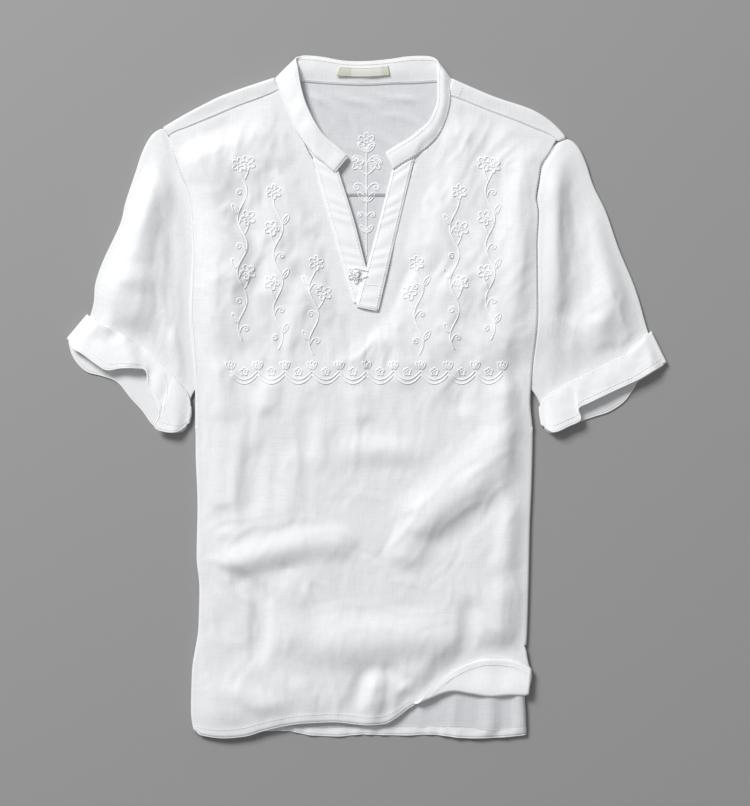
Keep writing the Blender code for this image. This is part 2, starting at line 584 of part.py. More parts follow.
def placket_place(stations, raise_low):
    """Strip that lies on the front; raise_low lifts its lower end over the other strip."""
    outer = [(s.outer_x, s.outer_y) for s in stations]
    inner = [(s.inner_x, s.inner_y) for s in stations]

    def place(column, row):
        share = row / SLIT_ROWS
        x, y = mix(along(outer, share), along(inner, share), column / STRIP_COLUMNS)
        over = 1 + raise_low * smooth((172 - y) / 30)
        return x, y, level(3) + over * PITCH

    return place


def band_point(station, rise):
    """Point of the neck band at a station, counted along it, and a share of its height."""
    index = min(int(station), len(NECK_BAND) - 2)
    t = station - index
    row = mix(np.array(NECK_BAND[index], float), np.array(NECK_BAND[index + 1], float), t)
    seam = row[:3]
    rim = row[3:]
    bulge = np.array([0.0, 0.0, BAND_BULGE * sin(pi * rise)])
    return mix(seam, rim, rise) + bulge


def place_band(column, row):
    return band_point(column, row / BAND_ROWS)


def place_label(column, row):
    station = mix(*LABEL_SPAN, column / LABEL_COLUMNS)
    x, y, z = band_point(station, mix(*LABEL_RISE, row))
    return x, y, z + PITCH + LABEL_CLEAR


def outside_body(x, y):
    """Distance of a place outside the body's side edges."""
    return read(BODY_LEFT, y) - x if x < 0 else x - read(BODY_RIGHT, y)


def inside_cuff(x, y):
    """1 where the sleeve is inside its cuff, 0 well above the cuff's turned edge."""
    upper = sorted(CUFF_UPPER_LEFT if x < 0 else CUFF_UPPER_RIGHT)
    return smooth((read(upper, x) - y + CUFF_REACH) / CUFF_EASE)


def sleeve_rise(x, y):
    """Height that the sleeve's upper layer has over a pressed one."""
    rise = max(0.0, SLEEVE_PUFF + fold_height(SLEEVE_FOLDS, x, y))
    return rise * smooth((outside_body(x, y) - 4) / 22)


def coons(start, end, first, last, u, w):
    """Point in a patch between the armhole, the cuff line and the two long edges."""
    a = along(start, w)
    b = along(end, w)
    c = along(first, u)
    d = along(last, u)
    corners = mix(mix(np.array(start[0], float), np.array(start[-1], float), w),
                  mix(np.array(end[0], float), np.array(end[-1], float), w), u)
    return mix(a, b, u) + mix(c, d, w) - corners


def armhole_line(left):
    """End of the sleeve inside the armhole, from the shoulder down."""
    side = BODY_LEFT if left else BODY_RIGHT
    tuck = SLEEVE_TUCK if left else -SLEEVE_TUCK
    first = (ARM_LEFT if left else ARM_RIGHT)[0]
    last = (UNDERARM_LEFT if left else UNDERARM_RIGHT)[0]
    middle = [(read(side, y) + tuck, y) for y in (257, 235, 205, 160, 110, 60)]
    return [first] + middle + [last]


def ring_place(top, bottom, ring_columns):
    """Flattened tube: the upper layer, a rounded fold, the lower layer and the other fold.

    top and bottom give a point from a share along and a share across; the fold's middle is moved out.
    """
    side = ring_columns + EDGE_POINTS + 1

    def place(column, share):
        column = column % (2 * side)
        if column <= ring_columns:
            return top(share, column / ring_columns)
        if side <= column <= side + ring_columns:
            return bottom(share, 1 - (column - side) / ring_columns)
        across = 1.0 if column < side else 0.0
        high = np.array(top(share, across))
        low = np.array(bottom(share, across))
        inner = np.array(top(share, 0.98 if across else 0.02))
        outward = (high - inner) * np.array([1, 1, 0])
        outward /= hypot(*outward)
        step = (column - ring_columns) if across else 2 * side - column
        angle = pi * step / (EDGE_POINTS + 1)
        centre = (high + low) / 2
        half = (high - low) / 2
        return centre + half * cos(angle) + outward * abs(half[2]) * sin(angle)

    return place, 2 * side


def sleeve_parts(left):
    armhole = armhole_line(left)
    end = SLEEVE_END_LEFT if left else SLEEVE_END_RIGHT
    arm = ARM_LEFT if left else ARM_RIGHT
    under = UNDERARM_LEFT if left else UNDERARM_RIGHT

    def top(share, across):
        x, y = coons(armhole, end, arm, under, share, across)
        ease = smooth(min(across, 1 - across) / 0.18) * (1 - 0.5 * inside_cuff(x, y))
        return x, y, level(2) + sleeve_rise(x, y) * ease

    def bottom(share, across):
        x, y = coons(armhole, end, arm, under, share, across)
        inside = 1 - smooth((outside_body(x, y) - 4) / 10)
        return x, y, level(max(inside, inside_cuff(x, y)))

    return top, bottom


def cuff_parts(left):
    upper = CUFF_UPPER_LEFT if left else CUFF_UPPER_RIGHT
    front = CUFF_FRONT_LEFT if left else CUFF_FRONT_RIGHT
    back = CUFF_BACK_LEFT if left else CUFF_BACK_RIGHT

    def top(share, across):
        x, y = mix(along(upper, across), along(front, across), share)
        ease = smooth(min(across, 1 - across) / 0.1)
        lift = CUFF_LIFT * share * ease
        return x, y, level(3) + sleeve_rise(x, y) * ease + lift

    def bottom(share, across):
        x, y = mix(along(upper, across), along(back, across), share)
        return x, y, level(0)

    return top, bottom


def tube(name, parts, shares, ring_columns, collection, parent):
    place_ring, columns = ring_place(*parts, ring_columns)
    cloth_sheet(name, columns, len(shares) - 1, lambda c, r: place_ring(c, shares[r]), everywhere,
                collection, parent)


def make_button(collection, parent):
    """Small knotted button, sewn on the lower strip."""
    bm = bmesh.new()
    bmesh.ops.create_uvsphere(bm, u_segments=BUTTON["segments"], v_segments=BUTTON["rings"], radius=0.5)
    mesh = bpy.data.meshes.new("button")
    base = level(3) + PITCH + WALL / 2 + GAP
    for vert in bm.verts:
        vert.co.x = (BUTTON["x"] + vert.co.x * BUTTON["diameter"]) * MM
        vert.co.y = (BUTTON["y"] + vert.co.y * BUTTON["diameter"]) * MM
        vert.co.z = (base + (0.5 + vert.co.z) * BUTTON["height"]) * MM
    bm.to_mesh(mesh)
    bm.free()
    mesh.shade_smooth()
    mesh.materials.append(new_material("button_thread", BUTTON_WHITE, 0.5))
    piece = bpy.data.objects.new("button", mesh)
    collection.objects.link(piece)
    piece.parent = parent


def make_loop(collection, parent):
    """Thread loop from the upper strip's edge round the button."""
    curve = bpy.data.curves.new("button_loop", "CURVE")
    curve.dimensions = "3D"
    curve.bevel_depth = LOOP["radius"] * MM
    curve.bevel_resolution = 1
    curve.use_fill_caps = True
    spline = curve.splines.new("POLY")
    spline.points.add(LOOP["points"] - 1)
    reach = BUTTON["diameter"] / 2 + LOOP["radius"] + LOOP["clear"]
    low = level(3) + PITCH + WALL / 2 + GAP + LOOP["radius"]
    high = level(3) + 2 * PITCH + WALL / 2 + GAP + LOOP["radius"]
    for index, point in enumerate(spline.points):
        share = index / (LOOP["points"] - 1)
        angle = mix(LOOP["opening"], 2 * pi - LOOP["opening"], share)
        ends = abs(2 * share - 1)
        stretch = LOOP["reach"] * smooth((ends - 0.62) / 0.38)
        x = BUTTON["x"] + reach * cos(angle) + stretch
        y = BUTTON["y"] + reach * sin(angle) * mix(1.0, LOOP["narrow"], smooth((ends - 0.5) * 2))
        z = mix(low, high, smooth((ends - 0.35) / 0.35))
        point.co = (x * MM, y * MM, z * MM, 1.0)
    curve.materials.append(new_material("loop_thread", BUTTON_WHITE, 0.7))
    piece = bpy.data.objects.new("button_loop", curve)
    collection.objects.link(piece)
    piece.parent = parent


def build():
    clear_scene()
    collection = bpy.data.collections.new("linen_shirt")
    bpy.context.scene.collection.children.link(collection)
    root = bpy.data.objects.new("shirt_frame", None)
    collection.objects.link(root)

    side_columns = 2 * (FLAP_COLUMNS + BEND_COLUMNS)
    front_rows = TURN_ROWS + BODY_ROWS + SLIT_ROWS + NECK_ROWS
    cloth_sheet("front_panel", side_columns + 2 * HALF_COLUMNS + 1, front_rows, place_front,
                keep_front, collection, root)
    cloth_sheet("back_panel", side_columns + BACK_COLUMNS, BACK_ROWS, place_back, keep_back,
                collection, root)
    cloth_sheet("yoke", 2 * YOKE_SIDE_COLUMNS + YOKE_NECK_COLUMNS,
                YOKE_BACK_ROWS + BEND_COLUMNS + YOKE_FRONT_ROWS, place_yoke, keep_yoke, collection, root)
    cloth_sheet("placket_left", STRIP_COLUMNS, SLIT_ROWS, placket_place(PLACKET_LEFT, 0),
                everywhere, collection, root)
    cloth_sheet("placket_right", STRIP_COLUMNS, SLIT_ROWS, placket_place(PLACKET_RIGHT, 1),
                everywhere, collection, root)
    cloth_sheet("collar_band", len(NECK_BAND) - 1, BAND_ROWS, place_band, everywhere, collection, root)
    cloth_sheet("neck_label", LABEL_COLUMNS, 1, place_label, everywhere, collection, root, LABEL_CLOTH)

    for left, side in ((True, "left"), (False, "right")):
        tube("sleeve_" + side, sleeve_parts(left), SLEEVE_SHARES, SLEEVE_COLUMNS, collection, root)
        tube("cuff_" + side, cuff_parts(left), CUFF_SHARES, CUFF_COLUMNS, collection, root)

    make_button(collection, root)
    make_loop(collection, root)


build()
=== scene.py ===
from math import pi, radians

import bmesh
import bpy
import numpy as np
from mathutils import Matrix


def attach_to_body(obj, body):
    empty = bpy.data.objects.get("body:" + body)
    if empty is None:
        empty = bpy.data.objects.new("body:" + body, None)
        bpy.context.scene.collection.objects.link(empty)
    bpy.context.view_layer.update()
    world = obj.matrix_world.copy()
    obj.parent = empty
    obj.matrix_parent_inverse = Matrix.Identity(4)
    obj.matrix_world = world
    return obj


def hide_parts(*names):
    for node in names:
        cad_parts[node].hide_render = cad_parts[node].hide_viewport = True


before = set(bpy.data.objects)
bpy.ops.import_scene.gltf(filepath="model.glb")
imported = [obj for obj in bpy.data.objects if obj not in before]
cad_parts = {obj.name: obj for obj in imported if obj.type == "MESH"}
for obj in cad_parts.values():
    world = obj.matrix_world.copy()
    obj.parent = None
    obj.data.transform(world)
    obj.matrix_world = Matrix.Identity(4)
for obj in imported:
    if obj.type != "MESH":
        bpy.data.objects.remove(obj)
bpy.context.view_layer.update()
print("frame loaded:", len(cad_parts), "nodes")

mm = 0.001
body = "root"

# the stack of cloth, in millimetres: each layer lies one pitch above the one below
stack = {"wall": 1.0, "pitch": 1.4}


def level(number):
    return stack["wall"] / 2 + stack["pitch"] * number


def smooth(value):
    t = np.clip(value, 0.0, 1.0)
    return t * t * (3 - 2 * t)


def mix(a, b, t):
    return a + (b - a) * t


def read(table, value):  # smooth curve through a table: second column at a value of its first
    first, second = np.array(table, float).T
    steps = np.diff(second) / np.diff(first)
    both = steps[1:] * steps[:-1]
    slope = np.where(both > 0, 2 * both / np.where(both > 0, steps[1:] + steps[:-1], 1.0), 0.0)
    slope = np.concatenate([steps[:1], slope, steps[-1:]])
    spot = np.clip(value, first[0], first[-1])
    index = np.clip(np.searchsorted(first, spot, side="right") - 1, 0, len(first) - 2)
    run = first[index + 1] - first[index]
    t = (spot - first[index]) / run
    ends = mix(second[index], second[index + 1], smooth(t))
    return ends + run * t * (1 - t) * (slope[index] * (1 - t) - slope[index + 1] * t)


def along(points, share):  # smooth curve through a few points, by share of its length
    spots = [np.array(p, float) for p in points]
    spots = [2 * spots[0] - spots[1]] + spots + [2 * spots[-1] - spots[-2]]
    reach, curve, start = [], [], 0.0
    for i in range(1, len(spots) - 2):
        p0, p1, p2, p3 = spots[i - 1:i + 3]
        length = np.hypot(*(p2 - p1)[:2])
        for t in np.linspace(0, 1, 9)[:-1]:
            curve.append(0.5 * (2 * p1 + (p2 - p0) * t + (2 * p0 - 5 * p1 + 4 * p2 - p3) * t ** 2
                                + (3 * p1 - p0 - 3 * p2 + p3) * t ** 3))
            reach.append(start + t * length)
        start += length
    curve.append(spots[-2])
    reach.append(start)
    curve = np.array(curve)
    share = np.clip(share, 0, 1)
    return np.stack([np.interp(share * start, reach, curve[:, k]) for k in range(curve.shape[1])], -1)


# soft noise: a few waves that cross at random angles, their lengths in shares of the size that is asked for
noise = {"waves": 9, "shortest": 1.5, "step": 0.28, "evenOut": 4.2}


def softNoise(x, y, size, seed):  # even random relief from -1 to 1, the same in each run
    waves = np.random.default_rng(seed).uniform(0, 2 * pi, (noise["waves"], 2))
    total = np.zeros_like(x)
    for number, (turn, phase) in enumerate(waves):
        length = size * (noise["shortest"] + noise["step"] * number)
        total += np.sin((x * np.cos(turn) + y * np.sin(turn)) * 2 * pi / length + phase)
    return total / noise["evenOut"]


# each row of creases: x0 y0 x1 y1 bow halfWidth height, in millimetres, with heights below 0 for troughs
def creaseHeight(rows, x, y, bend=3.0, reach=30, unevenness=0.25):
    bentX = x + bend * softNoise(x, y, reach, 71)
    bentY = y + bend * softNoise(x, y, reach, 73)
    uneven = 1 + unevenness * softNoise(x, y, reach, 75)
    total = np.zeros_like(x)
    for x0, y0, x1, y1, bow, halfWidth, height in rows:
        runX, runY = x1 - x0, y1 - y0
        length = np.hypot(runX, runY)
        ahead = ((bentX - x0) * runX + (bentY - y0) * runY) / length ** 2
        aside = ((bentX - x0) * -runY + (bentY - y0) * runX) / length
        aside = aside - bow * (1 - (2 * ahead - 1) ** 2)
        ends = smooth((ahead + 0.25) / 0.45) * smooth((1.25 - ahead) / 0.45)
        near = np.clip(np.abs(aside) / halfWidth, 0, 1)
        total += height * ends * (0.5 + 0.5 * np.cos(pi * near))
    return total * uneven


def crushed(x, y, seed):  # uneven little ridges of linen that has been crushed, in millimetres
    bentX = x + 10 * softNoise(x, y, 37, seed + 5)
    bentY = y + 10 * softNoise(x, y, 31, seed + 6)
    wide = softNoise(bentX * 1.25, bentY * 0.7, 42, seed + 2)
    coarse = 0.5 - np.abs(softNoise(bentX * 1.2, bentY * 0.75, 24, seed))
    close = 0.5 - np.abs(softNoise(bentX, bentY, 11, seed + 1))
    return 0.7 * wide + 0.75 * coarse + 0.34 * close


# outlines, in millimetres: body sides as y, x and the rest as x, y
outline = {
    "left": [(-365, -181), (-353, -186), (-336, -188), (-295, -187), (-245, -180), (-204, -179),
             (-171, -182), (-116, -181), (-56, -183), (-6, -183), (40, -185), (95, -189), (150, -187),
             (197, -189), (224, -195), (237, -201), (257, -208), (273, -213), (289, -218)],
    "right": [(-365, 174), (-337, 173), (-321, 172), (-298, 177), (-284, 173), (-270, 171),
              (-253, 172), (-185, 174), (-138, 175), (-89, 177), (-42, 178), (-6, 175), (12, 176),
              (95, 183), (158, 183), (197, 185), (211, 183), (231, 186), (246, 189), (260, 198),
              (273, 206), (284, 214)],
    "frontHem": [(-188, -350), (-181, -361), (-156, -364), (-133, -362), (-114, -357), (-88, -351),
                 (-64, -348), (-34, -347), (0, -350), (18, -349), (36, -340), (47, -332), (64, -324),
                 (94, -314), (112, -316.5), (135, -319.5), (157, -318), (170, -318.5), (176, -317)],
    "turnedEdge": [(47, -332), (71, -309), (90, -293), (110, -283), (129, -278), (148, -279),
                   (168, -287), (176, -296)],
    "backHem": [(-184, -350), (-160, -356), (-114, -357), (-96, -360), (-80, -362), (-42, -363),
                (-4, -361), (58, -362), (97, -361), (135, -364.6), (157, -363.5), (175, -361)],
    "shoulderLeft": [(-217, 289), (-195, 302), (-176, 312), (-158, 321), (-134, 330), (-103, 341)],
    "shoulderRight": [(95, 340), (138, 321), (176, 308), (192, 299), (203, 290), (213, 279)],
    "seamLeft": [(-212, 279), (-204, 284), (-193, 288), (-171, 297), (-137, 311), (-105, 323), (-92, 330)],
    "seamRight": [(86, 323), (104, 317), (131, 306), (158, 296), (180, 287), (195, 281), (206, 273)],
}

opening = {
    "slitBottom": 97.0, "slitHalf": 0.4, "stripHalf": 13, "armTop": {"Left": 284.0, "Right": 278.0},
    "stripLeft": [(-13, 97), (-36, 181), (-56, 252)],
    "stripRight": [(13, 97), (32, 178), (51, 251)],
    "slitLeft": [(-0.4, 97), (-1, 135), (-15, 191), (-33, 241)],
    "slitRight": [(0.4, 97), (2, 137), (15, 190), (29, 240)],
    "neckSeamLeft": [(-56, 252), (-66, 271), (-75, 285), (-87, 313), (-96, 331)],
    "neckSeamRight": [(51, 251), (65, 267), (76, 278), (88, 306), (91, 326)],
    "neckEdgeLeft": [(-33, 241), (-57, 267), (-70, 287), (-82, 313), (-91, 333)],
    "neckEdgeRight": [(29, 240), (56, 267), (71, 282), (84, 306), (86, 326)],
}

# the front: how its grid is shared out in rows and columns of the cut, and its sizes in millimetres
front = {
    "sideColumns": 3, "bendColumns": 4, "halfColumns": 12, "stripColumns": 2,
    "turnRows": 6, "bodyRows": 27, "slitRows": 8, "neckRows": 5, "fine": 5,
    "thickness": 0.8, "puff": 4.0, "above": 0.35, "hemSpan": (-184, 174),
    "flapWidth": 68.0, "flapTop": -40.0, "flapGrowth": 50.0, "narrowFlap": 5.0, "rightFlapEnd": -264.0,
    "turnRadius": 2.5, "turnFrom": 47, "hemBand": 9.0, "hemRise": 0.5,
    "wide": (1.5, 74, 15), "middle": (1.0, 47, 16),     # height, size and seed of its soft swells
    "foldBend": 9.0, "foldReach": 85, "creaseShare": 0.6,
    "foldFree": 30, "creaseFree": 12, "crumpleFree": 10,  # how far seams hold each kind down
    "crumple": 0.8, "chestCrumple": 1.6, "chestFrom": 40, "chestHalf": 175,   # sewing gathers the chest
    "hemPucker": 0.35, "underYoke": 0.65, "armholeSink": 0.3,
    "armhole": 7.5, "armholeFrom": 30, "armholeTo": 268, "armholeGrowth": 50, "armholeReach": 46,
}

# large soft folds, placed as they lie: x0 y0 x1 y1 bow halfWidth height
frontFolds = [
    (-184, 262, -180, 130, 0, 22, 4.5), (-167, 268, -146, 92, 3, 38, 9.5),
    (-128, 160, -124, 96, 0, 20, -1.5), (-104, 210, -98, 120, 0, 24, 3), (-70, 116, -66, 60, 0, 22, 2.5),
    (184, 262, 178, 160, 0, 40, 5), (178, 160, 144, 48, 0, 42, 7), (140, 292, 150, 206, 0, 44, -5),
    (104, 190, 110, 120, 0, 26, -3), (78, 110, 84, 50, 0, 22, 3), (166, 70, 162, 8, 0, 18, -3),
    (150, 16, 148, -48, 0, 36, 6), (90, 30, 96, -10, 0, 22, -3), (34, 70, 38, 20, 0, 24, 2.5),
    (150, -52, 100, -86, 0, 40, 8.5), (100, -86, 58, -136, 0, 40, 8.5), (56, -136, 45, -182, 0, 28, 5),
    (128, -98, 74, -150, 0, 24, -2.5), (156, -108, 146, -180, 0, 24, 4.5),
    (-150, -177, -76, -165, 3, 27, 7.5), (-76, -165, -14, -161, 0, 27, 5.5),
    (-150, -181, -119, -210, 3, 14, -3.5), (-115, -208, -107, -268, 2, 13, -6.5),
    (-84, -204, -78, -262, 0, 30, 4.5), (-88, -186, -70, -214, 0, 11, -2.5),
    (-68, -261, 78, -259, 2, 32, 6.5), (0, -286, -22, -330, 0, 15, -4.5), (7, -294, 1, -346, 0, 17, 5),
    (40, -306, 32, -342, 0, 13, 3), (18, -286, 42, -306, 0, 11, -3), (107, -218, 104, -270, 0, 17, -5.5),
    (144, -200, 142, -268, 0, 30, 5), (-140, -36, -142, -116, 0, 12, 1.4),
    (-122, -62, -122, -118, 0, 19, -3.5), (-79, -68, -78, -130, 0, 22, 3.5), (-64, -24, -59, -68, 0, 17, -2),
    (-43, -34, -45, -82, 0, 20, 2.4), (-104, 20, -112, -18, 0, 20, 3.5), (-20, -64, 50, -60, 4, 22, 3.5),
    (-10, 10, 0, -24, 0, 20, 3), (-160, 40, -156, -20, 0, 22, 3.5), (-154, -112, -150, -134, 0, 20, -3),
    (-150, -226, -152, -300, 0, 26, -2.5), (-140, -306, -100, -330, 0, 22, 3),
    (-72, -300, -62, -336, 0, 18, 2.5),
]

# smaller creases, placed one by one: x0 y0 x1 y1 bow halfWidth height
frontCreases = [
    (-182, 232, -166, 180, 3, 6, 1.3), (-176, 196, -150, 120, -4, 7, 1.2), (-160, 150, -150, 96, 3, 5, -0.9),
    (-178, 150, -160, 100, 2, 6, 0.9), (-140, 250, -122, 205, 4, 6, 1.1),
    (-110, 245, -104, 190, -3, 5, -0.9), (-96, 250, -84, 200, 3, 6, 0.9), (-84, 190, -70, 140, -3, 5, 0.8),
    (-104, 130, -98, 70, 4, 6, 1.0), (-68, 130, -58, 80, 2, 5, -0.7), (-44, 96, -40, 40, 2, 6, 0.9),
    (-20, 84, -18, 20, -2, 5, -0.7), (12, 84, 14, 10, 2, 6, 0.9), (40, 90, 36, 30, -2, 5, 0.7),
    (62, 128, 70, 80, 3, 5, -0.7), (70, 190, 84, 150, 3, 6, 1.0), (96, 240, 92, 196, -3, 6, 1.0),
    (110, 190, 118, 130, 3, 5, -0.9), (128, 250, 124, 200, 3, 6, 1.1), (146, 256, 148, 200, -2, 5, -0.8),
    (168, 240, 172, 180, 2, 5, 0.8), (168, 170, 160, 110, 3, 6, 1.1), (172, 110, 166, 60, -2, 5, 0.8),
    (120, 60, 112, 0, 4, 7, 1.0), (100, 10, 112, -50, -4, 7, -1.1), (166, 20, 172, -30, 2, 6, 1.0),
    (130, 0, 134, -44, 3, 5, -0.8), (-170, 60, -156, 10, 3, 6, 1.0), (-172, 0, -166, -60, -3, 6, 0.9),
    (-130, 20, -124, -40, 4, 6, -0.9), (-110, -10, -118, -70, -3, 7, 1.0), (-80, -30, -74, -90, 3, 6, 0.9),
    (-40, 0, -36, -70, -3, 6, -0.8), (-10, -10, -14, -80, 3, 7, 1.0), (24, -10, 30, -60, 3, 6, 0.8),
    (60, -20, 52, -80, -4, 6, -0.8), (150, -56, 104, -92, -5, 7, 1.3), (128, -66, 70, -110, -6, 6, -1.1),
    (90, -84, 40, -124, 4, 6, 1.1), (60, -108, 26, -160, 5, 6, 1.2), (34, -128, 6, -176, 6, 5, -1.0),
    (76, -128, 44, -178, 5, 6, 1.1), (118, -112, 76, -150, -6, 6, 1.0), (150, -92, 120, -130, -5, 6, 0.9),
    (160, -120, 140, -168, -4, 7, 1.0), (100, -160, 70, -196, 4, 6, -0.9),
    (-168, -140, -120, -128, 4, 6, 1.0), (-150, -158, -96, -136, 7, 5, 1.1),
    (-104, -140, -50, -134, 5, 6, 0.9), (-60, -146, -6, -152, 5, 5, 1.0), (-30, -160, 26, -178, 4, 6, -0.8),
    (-176, -176, -146, -190, 4, 6, 1.2), (-150, -188, -122, -218, -5, 5, 1.3),
    (-128, -214, -118, -256, 4, 5, 1.1), (-106, -196, -96, -236, -4, 5, 1.2),
    (-92, -236, -86, -276, 3, 5, 1.0), (-82, -188, -60, -214, 4, 5, 1.0),
    (-68, -200, -52, -236, -3, 5, -0.9), (-56, -196, -34, -214, 3, 5, 0.9),
    (-172, -214, -160, -262, 4, 7, 1.0), (-176, -270, -160, -320, -4, 7, 1.0),
    (-148, -260, -142, -310, 3, 6, -0.9), (-128, -286, -108, -326, 4, 6, 1.0),
    (-86, -300, -80, -340, -3, 6, 0.9), (-60, -292, -54, -336, 3, 5, -0.8),
    (-38, -286, -34, -340, 3, 6, 1.0), (-20, -246, 40, -250, 4, 6, 0.9), (-60, -228, 0, -224, 4, 6, 0.9),
    (10, -222, 74, -228, -4, 6, 1.0), (60, -250, 96, -244, 3, 5, -0.8), (14, -290, 12, -336, 3, 6, 1.0),
    (44, -278, 42, -316, -3, 6, 0.9), (74, -268, 70, -300, 3, 5, -0.7), (120, -196, 126, -244, -3, 6, 1.0),
    (156, -190, 160, -244, 3, 6, 1.0), (90, -190, 84, -226, 3, 6, 0.9), (116, -252, 112, -276, 2, 5, 0.8),
    (148, -206, 146, -252, 2, 5, -0.8), (-188, 96, -172, 40, 3, 5, 0.8), (-150, -60, -140, -110, 4, 7, 0.9),
    (-100, -90, -60, -118, 5, 7, -0.9), (-30, -100, 20, -112, 4, 7, 0.8), (-140, 40, -112, 20, 3, 5, 0.6),
    (-186, 170, -160, 162, 2, 4, 0.5), (-184, 138, -156, 128, 2, 4, -0.5), (-182, 118, -158, 112, 2, 4, 0.5),
    (-180, 84, -156, 74, 2, 4, -0.5), (178, 146, 158, 138, 2, 4, 0.5), (178, 84, 156, 70, 2, 4, 0.5),
    (30, -196, 60, -206, 4, 6, 0.9),
]

# the main part's first and last column, and the row where its slit starts
sideEnd = front["sideColumns"] + front["bendColumns"]
mainEnd = sideEnd + 2 * front["halfColumns"] + 1
bodyTop = front["turnRows"] + front["bodyRows"]


def openingHalf(y):
    return read([(60, 0), (92, 20), (240, 62), (330, 104)], y)


def pressed(x, y, reach):  # 0 where seams and strips hold the front down, 1 where it is free
    side = smooth((x - read(outline["left"], y)) / reach) * smooth((read(outline["right"], y) - x) / reach)
    seam = read(outline["seamLeft"] + outline["seamRight"], x)
    top = smooth((seam - 12 * reach / 30 - y) / reach)
    beside = (np.abs(x) - openingHalf(y)) / (reach * 1.07)
    below = (92 - y) / (reach * 1.2) + (np.abs(x) - 20) / (reach * 1.07)
    strips = smooth(np.where(y > 92, beside, below))
    turned = 1 - smooth((x - 26) / 18) * smooth((read(outline["turnedEdge"], x) + reach + 4 - y) / reach)
    hem = 0.35 + 0.65 * smooth((y - read(outline["frontHem"], x)) / reach)
    return side * top * strips * turned * hem


def armholeLift(y):  # the right armhole stands up off the layers below
    growth = front["armholeGrowth"]
    low, high = smooth((y - front["armholeFrom"]) / growth), smooth((front["armholeTo"] - y) / growth)
    return front["armhole"] * low * high


def aboveNothing(height, softness):  # height kept above 0 with a soft bend
    return 0.5 * (height + np.sqrt(height ** 2 + softness))


def frontHeight(x, y):
    wide = sum(height * softNoise(x, y, size, seed)
               for height, size, seed in (front["wide"], front["middle"]))
    folds = front["puff"] + creaseHeight(frontFolds, x, y, front["foldBend"], front["foldReach"]) + wide
    large = aboveNothing(folds, 4.0) * pressed(x, y, front["foldFree"])
    creases = front["creaseShare"] * creaseHeight(frontCreases, x, y)
    small = creases * (0.15 + 0.85 * pressed(x, y, front["creaseFree"]))
    edge = smooth((x - read(outline["left"], y)) / 6) * smooth((read(outline["right"], y) - x) / 6)
    seam = read(outline["seamLeft"] + outline["seamRight"], x)
    under = -front["underYoke"] * smooth((y - seam + 1.5) / 3) * (y > 200)  # below the yoke at the seams
    chest = smooth(y / front["chestFrom"]) * smooth((front["chestHalf"] - np.abs(x)) / 30)
    crumple = crushed(x, y, 3) * (front["crumple"] + front["chestCrumple"] * chest)
    crumple = crumple * (0.12 + 0.88 * pressed(x, y, front["crumpleFree"]))
    hemDistance = y - read(outline["frontHem"], x)
    band = front["hemRise"] * smooth((front["hemBand"] - hemDistance) / 1.2)
    puckers = front["hemPucker"] * np.sin(x / 5.3 + 1.5 * np.sin(x / 17))
    puckers = puckers * np.exp(-((hemDistance - 8) / 9) ** 2)
    inFrom = x - read(outline["right"], y)
    rise = armholeLift(y) * smooth((inFrom + front["armholeReach"]) / (front["armholeReach"] - 2))
    armhole = rise - front["armholeSink"] * smooth((inFrom + 5) / 4) * (y > 20)
    hem = (band + puckers) * (x < front["turnFrom"])
    return level(3) + large + (small + crumple) * edge + front["above"] + hem + under + armhole


def flapWidth(y):
    wide = front["flapWidth"] * smooth((front["flapTop"] - y) / front["flapGrowth"] + 0.08)
    return np.maximum(front["narrowFlap"], wide)


def foldRadius(y):  # side folds grow from nothing below the cuffs
    return 1.5 * stack["pitch"] * smooth((front["flapTop"] + 12 - y) / 14)


def frontMain(column, row):  # the front between its side folds, as x and y
    half, strip = front["halfColumns"], front["stripColumns"]
    last = 2 * half + 1
    outer = half - strip
    share = (row - front["turnRows"]) / front["bodyRows"]
    low = np.clip(share, 0, 1)
    bottom = opening["slitBottom"]
    leftTop, rightTop = read(outline["left"], bottom), read(outline["right"], bottom)
    xTop = np.interp(column, [0, outer, half, half + 1, half + 1 + strip, last],
                     [leftTop, -opening["stripHalf"], -opening["slitHalf"], opening["slitHalf"],
                      opening["stripHalf"], rightTop])
    across = mix(column / last, (xTop - leftTop) / (rightTop - leftTop), low ** 2)
    y = mix(read(outline["frontHem"], mix(*front["hemSpan"], across)), bottom, low)
    leftInset = foldRadius(y) + stack["wall"] / 2 * smooth((front["flapTop"] + 12 - y) / 14)
    rightInset = leftInset * smooth((y - front["rightFlapEnd"] + 8) / 8)
    x = mix(read(outline["left"], y) + leftInset, read(outline["right"], y) - rightInset, across)
    upX, upY = frontHalves(column, np.maximum(0, row - front["turnRows"] - front["bodyRows"]))
    return np.where(share > 1, upX, x), np.where(share > 1, upY, y)


